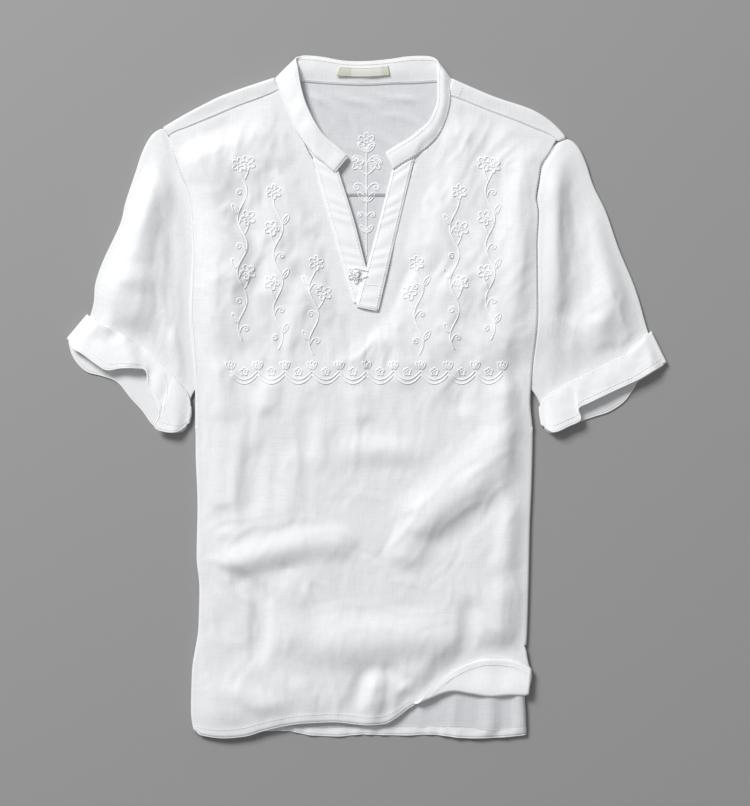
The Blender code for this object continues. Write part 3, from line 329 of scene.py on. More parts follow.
def frontHalves(column, row):
    half, strip = front["halfColumns"], front["stripColumns"]
    outer = half - strip
    rows = front["slitRows"] + front["neckRows"]
    result = []
    for side in ("Left", "Right"):
        steps = column if side == "Left" else 2 * half + 1 - column
        sideLine = outline[side.lower()]
        seam = outline["seamLeft"] if side == "Left" else outline["seamRight"][::-1]
        armTop = opening["armTop"][side]
        slitShare = row / front["slitRows"]
        neckShare = (row - front["slitRows"]) / front["neckRows"]
        below = (row <= front["slitRows"])[..., None]
        stripPoint = np.where(below, along(opening["strip" + side], slitShare),
                              along(opening["neckSeam" + side], neckShare))
        slitPoint = np.where(below, along(opening["slit" + side], slitShare),
                             along(opening["neckEdge" + side], neckShare))
        inner = mix(stripPoint, slitPoint, np.clip((steps - outer) / strip, 0, 1)[..., None])
        up = (row / rows)[..., None]
        over = np.clip(steps / outer, 0, 1)[..., None]
        armY = mix(opening["slitBottom"], armTop, row / rows)
        arm = np.stack([read(sideLine, armY), armY], -1)
        top = along(seam, over[..., 0]) + np.stack([np.zeros_like(armY), mix(5.0, 1.5, over[..., 0])], -1)
        lowCorner = np.array([read(sideLine, opening["slitBottom"]), opening["slitBottom"]])
        stripLow = np.array(opening["strip" + side][0], float)
        topOuter = np.array([read(sideLine, armTop), armTop])
        topInner = np.array(opening["neckSeam" + side][-1], float)
        corners = mix(mix(lowCorner, stripLow, over), mix(topOuter, topInner, over), up)
        outerPart = mix(mix(lowCorner, stripLow, over), top, up) + mix(arm, stripPoint, over) - corners
        result.append(np.where((steps >= outer)[..., None], inner, outerPart))
    point = np.where((column <= half)[..., None], result[0], result[1])
    return point[..., 0], point[..., 1]


def turnedCorner(column, row):  # hem corner rolled up over the front
    x, foldY = frontMain(column, np.full_like(row, front["turnRows"]))
    radius = front["turnRadius"]
    depth = np.maximum(0.0, read(outline["turnedEdge"], x) - foldY)
    length = depth + (pi - 1) * radius * np.minimum(1, depth / 12)
    step = front["turnRows"] - row
    rollSteps = front["turnRows"] - 2
    halfTurn = pi * radius
    rolled = np.minimum(halfTurn, length * rollSteps / front["turnRows"])
    run = np.where(step <= rollSteps, rolled * step / rollSteps, mix(rolled, length, (step - rollSteps) / 2))
    angle = np.minimum(run, halfTurn) / radius
    beyond = np.maximum(0, run - halfTurn)
    widen = 4.0 * smooth((x - 120) / 50) * run / np.maximum(length, 1)
    settle = (2 * radius - stack["pitch"] - 0.4) * smooth(beyond / 28)
    y = foldY + radius - radius * np.sin(angle) + beyond
    ripple = 0.5 * np.sin(x / 9.0 + np.sin(x / 21.0) * 2) * smooth(beyond / 12)
    inBand = smooth((beyond + halfTurn - length + front["hemBand"]) / 1.2)
    edge = front["hemRise"] * inBand * smooth(depth / 14)
    z = level(3) + front["above"] + radius * (1 - np.cos(angle)) - settle
    return x + widen, y, z + ripple * smooth(depth / 20) + edge


def placeFront(column, row):
    inner = np.clip(column, sideEnd, mainEnd) - sideEnd
    x, y = frontMain(inner, row)
    z = frontHeight(x, y)
    for firstSide in (True, False):
        beyond = (sideEnd - column) if firstSide else (column - mainEnd)
        towards = 1 if firstSide else -1
        radius = foldRadius(y)
        angle = pi * np.clip(beyond / front["bendColumns"], 0, 1)
        flap = np.clip((beyond - front["bendColumns"]) / front["sideColumns"], 0, 1)
        sideX = x - towards * radius * np.sin(angle) + towards * (flapWidth(y) - radius) * flap
        sideZ = level(3) + front["above"] - radius * (1 - np.cos(angle)) * (1 + 0.3 / 4.2)
        outside = beyond > 0
        x = np.where(outside, sideX, x)
        z = np.where(outside, sideZ, z)
    turnedX, turnedY, turnedZ = turnedCorner(inner, row)
    turned = row < front["turnRows"]
    return np.where(turned, turnedX, x), np.where(turned, turnedY, y), np.where(turned, turnedZ, z)


def keepFront(column, row):  # by the middle of a cell
    main = (column > sideEnd) & (column < mainEnd)
    hemX, _ = frontMain(np.clip(column, sideEnd, mainEnd) - sideEnd, np.full_like(row, front["turnRows"]))
    turned = (row < front["turnRows"]) & main & (hemX > 50)
    slit = np.abs(column - sideEnd - front["halfColumns"] - 0.5) < 0.5
    body = (row > front["turnRows"]) & main & ~((row > bodyTop) & slit)
    left = column < sideEnd
    edge = np.where(left, 0.0, mainEnd - sideEnd)
    _, edgeY = frontMain(edge, row)
    flaps = (row > front["turnRows"]) & (row < bodyTop) & ~main & (edgeY < front["flapTop"] + 9)
    flaps = flaps & (left | (edgeY > front["rightFlapEnd"]))
    return turned | body | flaps


def newMesh(name, points, faces, material):
    mesh = bpy.data.meshes.new(name)
    mesh.from_pydata((np.asarray(points) * mm).tolist(), [], faces)
    mesh.validate()
    mesh.materials.append(material)
    mesh.shade_smooth()
    piece = bpy.data.objects.new(name, mesh)
    bpy.context.scene.collection.objects.link(piece)
    bm = bmesh.new()
    bm.from_mesh(mesh)
    bmesh.ops.delete(bm, geom=[v for v in bm.verts if not v.link_faces], context="VERTS")
    bmesh.ops.recalc_face_normals(bm, faces=bm.faces)
    bm.to_mesh(mesh)
    bm.free()
    return piece


def attach(piece, node=None):  # every piece rides the one body, and may stand for a solid's node
    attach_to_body(piece, body)
    if node:
        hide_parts(node)
    return piece


def gridFaces(rows, columns, keep, closed):
    faces = []
    for r in range(rows - 1):
        for c in range(columns if closed else columns - 1):
            if keep is None or keep[r, c]:
                low, high, d = r * columns, (r + 1) * columns, (c + 1) % columns
                faces.append((low + c, low + d, high + d, high + c))
    return faces


def clothGrid(name, columns, rows, place, material, thickness, keep=None, closed=False):
    c, r = np.meshgrid(np.asarray(columns, float), np.asarray(rows, float))
    x, y, z = place(c, r)
    points = np.stack([x, y, z], -1).reshape(-1, 3)
    mask = None
    if keep is not None:
        middleC = (c[:-1, :-1] + c[1:, 1:]) / 2
        middleR = (r[:-1, :-1] + r[1:, 1:]) / 2
        mask = keep(middleC, middleR)
    piece = newMesh(name, points, gridFaces(len(rows), len(columns), mask, closed), material)
    wall = piece.modifiers.new("wall", "SOLIDIFY")
    wall.thickness = thickness * mm
    wall.offset = 0.0
    wall.use_even_offset = False
    return piece


def stepped(*stops):  # values from 0 to each stop in turn, in a number of steps: (end, steps), ...
    values = [0.0]
    for end, steps in stops:
        values += list(np.linspace(values[-1], end, steps + 1)[1:])
    return values


def srgb(code):  # hex colour to linear
    parts = [int(code[i:i + 2], 16) / 255 for i in (1, 3, 5)]
    return [p / 12.92 if p <= 0.04045 else ((p + 0.055) / 1.055) ** 2.4 for p in parts] + [1.0]


def addNode(material, kind, settings=None, links=None):
    tree = material.node_tree
    node = tree.nodes.new(kind)
    for key, value in (settings or {}).items():
        if hasattr(node, key):
            setattr(node, key, value)
        else:
            node.inputs[key].default_value = value
    for socket, source in (links or {}).items():
        tree.links.new(source, node.inputs[socket])
    return node


def emptyMaterial(name):
    material = bpy.data.materials.new(name)
    material.use_nodes = True
    material.node_tree.nodes.clear()
    return material, addNode(material, "ShaderNodeTexCoord")


def twoTones(material, first, second, share):  # from one colour to another by the share's result
    tone = addNode(material, "ShaderNodeMix", {"data_type": "RGBA"}, {0: share.outputs["Result"]})
    tone.inputs[6].default_value = srgb(first)
    tone.inputs[7].default_value = srgb(second)
    return {"Base Color": tone.outputs[2]}


def finishMaterial(material, settings, relief, colour):
    shader = addNode(material, "ShaderNodeBsdfPrincipled",
                     {"Base Color": srgb(settings["colour"]), "Roughness": settings["roughness"],
                      "IOR": settings["ior"], "Sheen Weight": settings["sheen"]}, {**relief, **colour})
    addNode(material, "ShaderNodeOutputMaterial", links={"Surface": shader.outputs["BSDF"]})


# bleached plain linen: matt and white with irregular thicker yarns, so it catches light in fine streaks
linen = {
    "colour": "#f3f4f6", "shade": "#eaecef", "roughness": 0.86, "sheen": 0.18, "ior": 1.46,
    "threadPitch": 1.4,      # millimetres; real threads lie 0.5 mm apart, drawn coarser so that they show
    "threadDepth": 0.08, "slubWidth": 1.2, "slubLength": 16.0, "slubDepth": 0.12,
    "crumpleSize": 9.0, "crumpleDepth": 0.8,
}


def linenMaterial(name, settings, turnDegrees=0.0):
    material, coords = emptyMaterial(name)
    turned = addNode(material, "ShaderNodeMapping", {"Rotation": (0, 0, radians(turnDegrees))},
                     {"Vector": coords.outputs["Object"]})
    place = turned.outputs["Vector"]

    def stretched(x, y, z):
        mapping = addNode(material, "ShaderNodeMapping", {"Scale": (x, y, z)}, {"Vector": place})
        return mapping.outputs["Vector"]

    waves = [addNode(material, "ShaderNodeTexWave",
                     {"wave_type": "BANDS", "bands_direction": direction, "wave_profile": "SIN",
                      "Scale": 100 * pi / settings["threadPitch"], "Distortion": 1.6,
                      "Detail": 2.0, "Detail Scale": 1.5}, {"Vector": place}).outputs["Fac"]
             for direction in ("X", "Y")]  # warp, then weft
    weave = addNode(material, "ShaderNodeMath", {"operation": "MAXIMUM"}, dict(enumerate(waves)))
    thin, long = 1000 / settings["slubWidth"], 1000 / settings["slubLength"]
    slubs = [addNode(material, "ShaderNodeTexNoise", {"Scale": 1.0, "Detail": 3.0, "Roughness": 0.6},
                     {"Vector": stretched(*scales)}).outputs["Fac"]
             for scales in ((thin, long, long), (long, thin, long))]  # of the warp, then of the weft
    crumple = addNode(material, "ShaderNodeTexNoise",
                      {"Scale": 1000 / settings["crumpleSize"], "Detail": 4.0, "Roughness": 0.55,
                       "Distortion": 0.6}, {"Vector": stretched(1.25, 0.7, 1.0)})
    layers = ((0.35, "crumpleDepth", crumple.outputs["Fac"]), (0.6, "slubDepth", slubs[0]),
              (0.2, "slubDepth", slubs[1]), (0.4, "threadDepth", weave.outputs["Value"]))
    relief = {}
    for strength, depth, height in layers:
        bump = addNode(material, "ShaderNodeBump", {"Strength": strength, "Distance": settings[depth] * mm},
                       {"Height": height, **relief})
        relief = {"Normal": bump.outputs["Normal"]}
    both = addNode(material, "ShaderNodeMath", {"operation": "MAXIMUM"}, dict(enumerate(slubs)))
    spread = addNode(material, "ShaderNodeMapRange", {"From Min": 0.5, "From Max": 0.75},
                     {"Value": both.outputs["Value"]})
    colour = twoTones(material, settings["colour"], settings["shade"], spread)
    finishMaterial(material, settings, relief, colour)
    return material


linenPanel = linenMaterial("bleachedLinen", linen)
# one layer of the same cloth with nothing white behind it, thin: its greyer colour is painted shade,
# standing in for the shade in the recesses and for the floor's grey seen through the cloth
linenSinglePaintedShade = linenMaterial("bleachedLinenSinglePaintedShade", {**linen, "colour": "#dfe1e4", "shade": "#d3d5d9"})
# bands, strips and turned parts hold two or three layers, so less of the floor's grey comes through them:
# their whiter colour is painted light, standing in for that and for the light on these raised parts
doubledPaintedLight = {**linen, "colour": "#fdfeff", "shade": "#f6f8fa"}
linenDoublePaintedLight = linenMaterial("bleachedLinenDoublePaintedLight", doubledPaintedLight)
# cuffs take the whiter colour with painted light, sleeves the plain linen
armLinen = {(kind, side): linenMaterial("bleachedLinen" + side.capitalize() + kind, settings, turn)
            for kind, settings in (("Sleeve", linen), ("Cuff", doubledPaintedLight))
            for side, turn in (("left", 24), ("right", -24))}  # turned with the sleeve's thread, in degrees
print("linen made")

upperRows = front["slitRows"] + front["neckRows"]
turnSteps = 24
frontColumns = stepped((front["sideColumns"], 6), (sideEnd, 8), (mainEnd, (mainEnd - sideEnd) * 6),
                       (mainEnd + front["bendColumns"], 8), (mainEnd + sideEnd, 6))
frontRows = stepped((front["turnRows"], turnSteps), (bodyTop, front["bodyRows"] * front["fine"]),
                    (bodyTop + upperRows, upperRows * front["fine"]))
frontSheet = clothGrid("frontSheet", frontColumns, frontRows, placeFront, linenPanel, front["thickness"],
                       keepFront)
frontSheet.data.materials.append(linenDoublePaintedLight)
middles = [np.convolve(steps, (0.5, 0.5), "valid") for steps in (frontColumns, frontRows[:turnSteps + 1])]
turnedFaces = int(keepFront(*np.meshgrid(*middles)).sum())
for polygon in frontSheet.data.polygons[:turnedFaces]:  # the turned corner lies on a second layer, in the whiter colour with painted light
    polygon.material_index = 1
attach(frontSheet, "front_panel")
print("front made:", len(frontSheet.data.polygons), "faces")

# back of the shirt, flat on the floor, with its turned-under sides
back = {
    "columns": 14, "rows": 18, "edgeColumns": 3, "thickness": 0.8, "yokeSeam": 219.0, "hemSpan": (-184, 175),
    "hemBand": 8.5, "above": 0.25, "flapEase": 5, "innerStrip": 34,
    "hemRise": 0.35, "hemRuffle": 0.6,
    "creases": [
        (131, -300, 132, -360, 0, 13, 3.8), (163, -300, 164, -360, 0, 11, 3.4),
        (96, -300, 92, -350, 3, 8, 0.9), (60, -318, 58, -352, 2, 6, 0.7), (-60, 150, 40, 120, 8, 14, 1.4),
        (70, 60, -30, 20, -8, 15, 1.6), (-90, -40, -20, -90, 8, 14, 1.5), (60, -120, 10, -190, -7, 13, 1.6),
        (-50, -220, -30, -300, 6, 13, 1.3), (-140, 160, -120, 60, 4, 12, 1.2),
        (140, 180, 120, 90, -4, 12, 1.2), (-100, 0, -104, -80, 4, 11, 1.1),
    ],
}


def backEdge(y, left):
    inset = 2.4 * smooth((front["flapTop"] + 30 - y) / 20) + 1.2 * smooth((front["flapTop"] + 4 - y) / 8)
    return read(outline["left"], y) + inset if left else read(outline["right"], y) - inset


backEnd = sideEnd + back["columns"]


def placeBack(column, row):
    count, edgeColumns = back["columns"], back["edgeColumns"]
    steps = np.clip(column, sideEnd, backEnd) - sideEnd
    low = read(outline["backHem"], mix(*back["hemSpan"], steps / count))
    share = row / back["rows"]
    y = mix(low, back["yokeSeam"] - 0.2, np.maximum(share, 1e-6) ** 0.96)
    leftEdge, rightEdge = backEdge(y, True), backEdge(y, False)
    turned = flapWidth(y)
    raised = level(2 * smooth((8 - y) / 44))
    overFlap, inside = turned + back["flapEase"], turned + back["innerStrip"]
    fromLeft = np.minimum(steps, edgeColumns)
    fromRight = np.minimum(count - steps, edgeColumns)

    def inward(number):
        return np.where(number < 2, number * overFlap / 2, mix(overFlap, inside, number - 2))

    middle = mix(leftEdge + inside, rightEdge - inside, (steps - edgeColumns) / (count - 2 * edgeColumns))
    x = np.where(steps < edgeColumns, leftEdge + inward(fromLeft),
                 np.where(count - steps < edgeColumns, rightEdge - inward(fromRight), middle))
    nearest = np.minimum(fromLeft, fromRight)
    z = mix(raised, level(0), smooth(nearest - 2))
    hemBand = smooth((back["hemBand"] - (y - low)) / 1.2)
    ruffle = back["hemRuffle"] * np.sin(x / 3.1 + 2 * np.sin(x / 13)) * hemBand
    creases = np.maximum(0, creaseHeight(back["creases"], x, y)) * smooth((y - low) / 6)
    z = z + creases + back["hemRise"] * hemBand
    z = z + ruffle * (x > -160) * (x < 150) + back["above"]
    for left in (True, False):
        beyond = (sideEnd - column) if left else (column - backEnd)
        towards = 1 if left else -1
        radius = stack["pitch"] / 2
        angle = pi * np.clip(beyond / front["bendColumns"], 0, 1)
        flap = np.clip((beyond - front["bendColumns"]) / front["sideColumns"], 0, 1)
        edge = leftEdge if left else rightEdge
        sideX = edge - towards * radius * np.sin(angle) + towards * (turned - radius) * flap
        sideZ = level(1.5) + radius * np.cos(angle)
        x = np.where(beyond > 0, sideX, x)
        z = np.where(beyond > 0, sideZ, z)
    return x, y, z


def keepBack(column, row):
    main = (column > sideEnd) & (column < backEnd)
    return main | (placeBack(np.full_like(column, float(sideEnd)), row)[1] <= front["flapTop"] - 2)


backColumns = stepped((front["sideColumns"], 6), (sideEnd, 8), (sideEnd + back["edgeColumns"], 30),
                      (backEnd - back["edgeColumns"], 44), (backEnd, 30),
                      (backEnd + front["bendColumns"], 8), (backEnd + sideEnd, 6))
backRows = stepped((1, 14), (back["rows"], (back["rows"] - 1) * 6))
# the back is one layer, in the greyer colour with painted shade
backSheet = clothGrid("backSheet", backColumns, backRows, placeBack, linenSinglePaintedShade, back["thickness"],
                      keepBack)
backSheet.data.materials.append(linenPanel)
for polygon in backSheet.data.polygons:  # the hem is folded double, so it takes the plain linen without the painted shade
    if polygon.center.y / mm < read(outline["backHem"], polygon.center.x / mm) + back["hemBand"]:
        polygon.material_index = 1
attach(backSheet, "back_panel")
print("back made:", len(backSheet.data.polygons), "faces")

# yoke: flat behind the neck, rolled over the shoulders to the front seams
yoke = {
    "sideColumns": 9, "neckColumns": 10, "backRows": 5, "bendRows": 4, "frontRows": 2, "thickness": 0.9,
    "neckTop": 338.0, "above": 0.25, "lap": 3.5, "seamRise": 0.85, "relief": 0.3, "reliefLift": 0.6,
    "frontSink": 1.1, "frontRipple": 0.22, "frontCrumple": 0.3, "tipSink": 0.95,
    "creases": [
        (-58, 322, -20, 292, 4, 6, 1.2), (-40, 330, 10, 312, -4, 6, 1.0), (-62, 300, -30, 262, 4, 6, 1.1),
        (-20, 316, 30, 286, 5, 6, 1.1), (0, 330, 52, 318, -4, 5, 0.9), (20, 300, 60, 292, 3, 6, 1.0),
        (-44, 284, -8, 262, -3, 6, 0.9), (4, 282, 44, 256, 4, 6, 1.1), (-16, 300, -6, 270, 2, 5, 0.8),
        (34, 322, 64, 300, 3, 5, 0.9), (-70, 330, -52, 312, 3, 6, 0.9), (-24, 256, 14, 236, 3, 5, 0.8),
    ],
}


# the yoke's columns behind the neck, its last column, the row where its bend ends and its last row
neckFrom = yoke["sideColumns"]
neckTo = neckFrom + yoke["neckColumns"]
yokeEnd = neckTo + yoke["sideColumns"]
bendEnd = yoke["backRows"] + yoke["bendRows"]
yokeTop = bendEnd + yoke["frontRows"]


def yokeSeamRise(y):  # its lower edge lies on the back
    return yoke["seamRise"] * smooth((9 - (y - back["yokeSeam"] + yoke["lap"])) / 5)


def yokeRelief(x, y):
    return yoke["relief"] * np.maximum(0, crushed(x, y, 17) + yoke["reliefLift"])


def placeYoke(column, row):
    side = yoke["sideColumns"]
    radius = 2 * stack["pitch"]
    leftSide = outline["shoulderLeft"][:-1] + [(-98, 342)]
    rightSide = [(91, 341)] + outline["shoulderRight"][1:]
    leftShare = np.clip(column / side, 0, 1)
    rightShare = np.clip((column - neckTo) / side, 0, 1)
    xLeft = mix(leftSide[0][0], leftSide[-1][0], leftShare)
    xRight = mix(rightSide[0][0], rightSide[-1][0], rightShare)
    onLeft, onRight = column <= side, column >= neckTo
    xNeck = mix(leftSide[-1][0], rightSide[0][0], (column - side) / yoke["neckColumns"])
    xTop = np.where(onLeft, xLeft, np.where(onRight, xRight, xNeck))
    shoulder = np.where(onLeft, read(leftSide, xLeft), read(rightSide, xRight))
    yTop = np.where(onLeft | onRight, shoulder - stack["wall"] / 2 - radius, yoke["neckTop"])
    seam = np.where(onLeft[..., None], along(outline["seamLeft"], leftShare),
                    along(outline["seamRight"], rightShare))
    across = (xTop - leftSide[0][0]) / (rightSide[-1][0] - leftSide[0][0])
    yLow = back["yokeSeam"] - yoke["lap"]
    leftLow, rightLow = read(outline["left"], yLow), read(outline["right"], yLow)
    t = np.clip(row / yoke["backRows"], 0, 1)
    y = mix(yLow, yTop, t)
    hollow = mix(read(outline["left"], y) - mix(leftLow, leftSide[0][0], t),
                 read(outline["right"], y) - mix(rightLow, rightSide[-1][0], t), across)
    x = mix(mix(leftLow, rightLow, across), xTop, t) + hollow * smooth((1 - t) * 4)
    flat = 1 - smooth((t - 0.85) / 0.1)
    z = level(0) + yoke["above"] + np.maximum(0, creaseHeight(yoke["creases"], x, y) * flat)
    z = z + yokeSeamRise(y) * (t < 1)
    z = z + yokeRelief(x, y) * flat * smooth((70 - np.abs(x)) / 12)
    over = row > yoke["backRows"]
    angle = pi * np.clip((row - yoke["backRows"]) / yoke["bendRows"], 0, 1)
    f = np.clip((row - yoke["backRows"] - yoke["bendRows"]) / yoke["frontRows"], 0, 1)
    bendY = yTop + radius * np.sin(angle)
    ease = np.sin(pi * f)
    ripple = yoke["frontRipple"] * np.sin(xTop / 6.5 + 2 * np.sin(xTop / 19))
    ripple = (ripple + yoke["frontCrumple"] * crushed(xTop, f * 30, 23)) * ease
    tips = yoke["tipSink"] * smooth((np.abs(xTop) - 175) / 30) * (1 - smooth(f)) * (1 - np.cos(angle)) / 2
    bendZ = level(0) + radius * (1 - np.cos(angle)) + yoke["above"] - yoke["frontSink"] * smooth(f)
    x = np.where(over, mix(xTop, seam[..., 0], f), x)
    y = np.where(over, mix(bendY, seam[..., 1], f), y)
    z = np.where(over, bendZ + ripple - tips, z)
    return x, y, z


def keepYoke(column, row):
    return (row < yoke["backRows"]) | (column < neckFrom) | (column > neckTo)


yokeColumns = stepped((neckFrom, 45), (neckTo, 70), (yokeEnd, 45))
yokeRows = stepped((yoke["backRows"], 40), (bendEnd, 12), (yokeTop, 12))
yokeSheet = clothGrid("yokeSheet", yokeColumns, yokeRows, placeYoke, linenPanel, yoke["thickness"], keepYoke)
yokeSheet.data.materials.append(linenSinglePaintedShade)
for polygon in yokeSheet.data.polygons:  # behind the neck the yoke is one layer, in the greyer colour with painted shade
    if abs(polygon.center.x) < 0.085 and polygon.center.y < 0.3395:
        polygon.material_index = 1
attach(yokeSheet, "yoke")
print("yoke made:", len(yokeSheet.data.polygons), "faces")

# band collar: seam x y z, then rim x y z, from the left front end round the back to the right one
frontZ, backZ = level(5), level(1)
collar = {
    "thickness": 1.3, "rimRadius": 0.85, "bulge": 0.7, "wave": 0.4, "crumple": 0.35, "sewnDown": 0.55,
    "stations": [
        (-34, 240, frontZ, -20, 257, 6.8), (-45, 249, frontZ, -33, 268, 8.4),
        (-56, 259, frontZ, -46, 279, 10.4), (-66, 271.5, frontZ, -54, 290, 12),
        (-75, 285, frontZ, -60, 301, 12), (-81.5, 299, frontZ, -66, 315, 12),
        (-87, 313, frontZ, -70, 329, 11.5), (-92, 325, frontZ, -72.5, 342, 11),
        (-95, 333, frontZ, -74, 352, 10.5), (-98.5, 339.5, (frontZ + backZ) / 2, -75.5, 360.5, 8.8),
        (-94, 339, backZ, -71, 363, 7), (-83, 338, backZ, -64, 364, 6.5),
        (-60, 336.5, backZ, -47, 362.5, 6.5), (-30, 334.5, backZ, -24, 358.5, 6.5),
        (0, 333.5, backZ, 0, 358, 6.5), (28, 335, backZ, 23, 360, 6.5), (52, 335.5, backZ, 44, 363, 6.5),
        (76, 337, backZ, 62, 363.5, 6.5), (87, 338, backZ, 71, 362, 7),
        (91.5, 338.5, (frontZ + backZ) / 2, 76.5, 357, 8.4), (89.5, 331, frontZ, 76, 349, 8.6),
        (90, 319, frontZ, 76, 334, 8.4), (88, 306, frontZ, 76, 318, 8.4), (83, 291, frontZ, 73, 306, 8.4),
        (76, 278, frontZ, 66, 293, 8.4), (65, 267, frontZ, 57, 285, 8.4), (52, 257, frontZ, 47, 277, 8.4),
        (40, 250, frontZ, 34, 269, 8.4), (29, 243, frontZ, 21, 261, 8.4),
    ],
}


def bandPoint(station, rise):
    table = np.array(collar["stations"], float)
    table = np.vstack([2 * table[0] - table[1], table, 2 * table[-1] - table[-2]])
    index = np.clip(np.floor(station).astype(int), 0, len(table) - 4)
    t = (station - index)[..., None]
    p0, p1, p2, p3 = (table[index + k] for k in range(4))
    row = 0.5 * (2 * p1 + (p2 - p0) * t + (2 * p0 - 5 * p1 + 4 * p2 - p3) * t ** 2
                 + (3 * p1 - p0 - 3 * p2 + p3) * t ** 3)
    spot = mix(row[..., :3], row[..., 3:], rise[..., None])
    spot[..., 2] += collar["bulge"] * np.sin(pi * rise)
    return spot


def placeBand(column, row):
    spot = bandPoint(column, row)
    wave = collar["wave"] * np.sin(column * 2.9 + 1.5 * np.sin(column * 1.3)) * np.sin(pi * row)
    crumple = collar["crumple"] * crushed(spot[..., 0] * 1.6, spot[..., 1] * 1.6, 31)
    wave = wave + crumple * np.sin(pi * row)
    offStrip = np.maximum(smooth((np.abs(spot[..., 0]) - 50) / 10), smooth((spot[..., 1] - 300) / 10))
    seamZ = bandPoint(column, np.zeros_like(row))[..., 2]
    depth = collar["sewnDown"] + offStrip * np.maximum(0.4, 0.95 * (seamZ - 5.9))
    sewnDown = depth * (1 - smooth(row / mix(0.08, 0.6, offStrip)))  # its seam sinks into the cloth
    return spot[..., 0], spot[..., 1], spot[..., 2] + wave - sewnDown


bandEnd = len(collar["stations"]) - 1.0
bandSheet = clothGrid("collarBand", np.linspace(0, bandEnd, 141), np.linspace(0, 1, 15), placeBand,
                      linenDoublePaintedLight, collar["thickness"])
attach(bandSheet, "collar_band")
print("collar made:", len(bandSheet.data.polygons), "faces")

# placket strips, from their lower end up: outer x, outer y, inner x, inner y
placket = {
    "thickness": 1.1, "edgeRadius": 0.7, "wrinkle": 0.42, "bulge": 0.45,
    "left": [(-13, 100, 11, 100), (-23, 135, 0, 135), (-37, 184, -14, 189), (-57, 255, -31, 243)],
    "right": [(12, 92, -11, 97), (31, 173, 9, 169), (51, 257, 28, 243)],
}


def stripPoint(side, across, share):
    stations = placket[side]
    outer = along([s[:2] for s in stations], share)
    inner = along([s[2:] for s in stations], share)
    spot = mix(outer, inner, across[..., None])
    raiseLow = 1.0 if side == "right" else 0.0
    over = 1 + raiseLow * smooth((172 - spot[..., 1]) / 30)
    wrinkle = placket["wrinkle"] * np.sin(share * 66 + across * 1.6 + 2.2 * np.sin(share * 19))
    wrinkle = wrinkle * np.sin(pi * across) ** 0.6
    height = level(3) + over * stack["pitch"] + wrinkle + placket["bulge"] * np.sin(pi * across)
    return spot[..., 0], spot[..., 1], height


for side in ("left", "right"):
    strip = clothGrid("placket" + side.capitalize(), np.linspace(0, 1, 13), np.linspace(0, 1, 61),
                      lambda c, r, side=side: stripPoint(side, c, r), linenDoublePaintedLight, placket["thickness"])
    attach(strip, "placket_" + side)
print("placket made")

# sleeves and their turned-back cuffs, as flattened tubes
arm = {
    "thickness": 0.8, "puff": 2.6, "tuck": 9.0, "ringColumns": 9, "edgePoints": 3, "creaseShare": 0.6,
    "crumple": 0.9, "above": 0.25, "seamRise": 0.8, "rightRise": 0.9, "tipRise": 1.3,
    "left": {
        "arm": [(-207, 279), (-216, 286), (-228, 279), (-238, 262), (-247, 237), (-257, 207), (-263, 183),
                (-281, 144), (-289, 120), (-291, 100), (-297, 79)],
        "under": [(-175, 20), (-187, 3), (-193, -17)],
        "end": [(-297, 79), (-287, 71), (-257, 54), (-224, 27), (-205, 7), (-193, -17)],
    },
    "right": {
        "arm": [(204, 271), (212, 275), (223, 268), (233, 250), (242, 224), (255, 197), (269, 157),
                (286, 116), (297, 80), (303, 61)],
        "under": [(167, 20), (182, 2), (190, -17)],
        "end": [(303, 61), (291, 47), (280, 33), (216, 4), (200, -6), (190, -17)],
    },
    "folds": [
        (-240, 246, -256, 130, 0, 50, 11), (-256, 130, -262, 70, 0, 48, 9),
        (-206, 190, -202, 110, 0, 14, -1.5), (-206, 64, -198, 24, 0, 12, 2), (-262, 60, -248, 28, 0, 16, 4),
        (196, 232, 192, 110, 0, 34, 5), (226, 232, 230, 120, 0, 26, -3.4), (228, 120, 214, 84, 0, 22, -2),
        (258, 204, 262, 92, 0, 31, 8.5), (244, 86, 252, 56, 0, 24, 3.5), (274, 52, 298, 70, 0, 8, -2.5),
    ],
    "creases": [
        (-240, 236, -262, 150, 3, 6, 1.2), (-226, 252, -236, 180, 3, 7, 1.2),
        (-218, 210, -232, 130, 4, 6, -1.2), (-210, 180, -218, 100, -3, 6, 1.1),
        (-200, 130, -206, 60, 3, 6, 1.0), (-252, 160, -268, 110, -3, 6, -1.0),
        (-240, 130, -252, 80, 4, 6, 1.2), (-226, 120, -234, 66, 3, 5, -1.0), (-216, 96, -222, 50, 3, 6, 1.1),
        (-274, 118, -270, 84, 3, 6, 1.0), (-204, 70, -202, 20, 2, 5, 0.9), (-196, 90, -194, 50, 2, 4, -0.8),
        (236, 226, 262, 150, -3, 6, 1.2), (222, 240, 236, 170, -3, 7, 1.2),
        (208, 200, 220, 130, -4, 6, -1.2), (200, 160, 206, 90, 3, 6, 1.0), (252, 150, 268, 100, 3, 6, -1.0),
        (232, 120, 250, 70, -4, 6, 1.2), (190, 94, 218, 58, 3, 4, 1.5), (198, 84, 232, 64, 2, 4, 1.5),
        (194, 74, 226, 46, 2, 4, 1.3), (190, 62, 212, 30, 3, 4, 1.1), (218, 90, 244, 54, 3, 5, -0.9),
        (270, 100, 282, 66, -3, 6, 1.1), (258, 76, 270, 50, 2, 5, -0.9),
    ],
}


def outsideBody(x, y):
    return np.where(x < 0, read(outline["left"], y) - x, x - read(outline["right"], y))


def coons(start, end, first, last, u, w):  # patch between armhole, cuff line and the two long edges
    ends = [np.array(p, float) for p in (start[0], start[-1], end[0], end[-1])]
    corners = mix(mix(ends[0], ends[1], w[..., None]), mix(ends[2], ends[3], w[..., None]), u[..., None])
    return (mix(along(start, w), along(end, w), u[..., None])
            + mix(along(first, u), along(last, u), w[..., None]) - corners)


def insideCuff(x, y, side):
    return smooth((read(sorted(cuff[side]["upper"]), x) - y + 46) / 40)


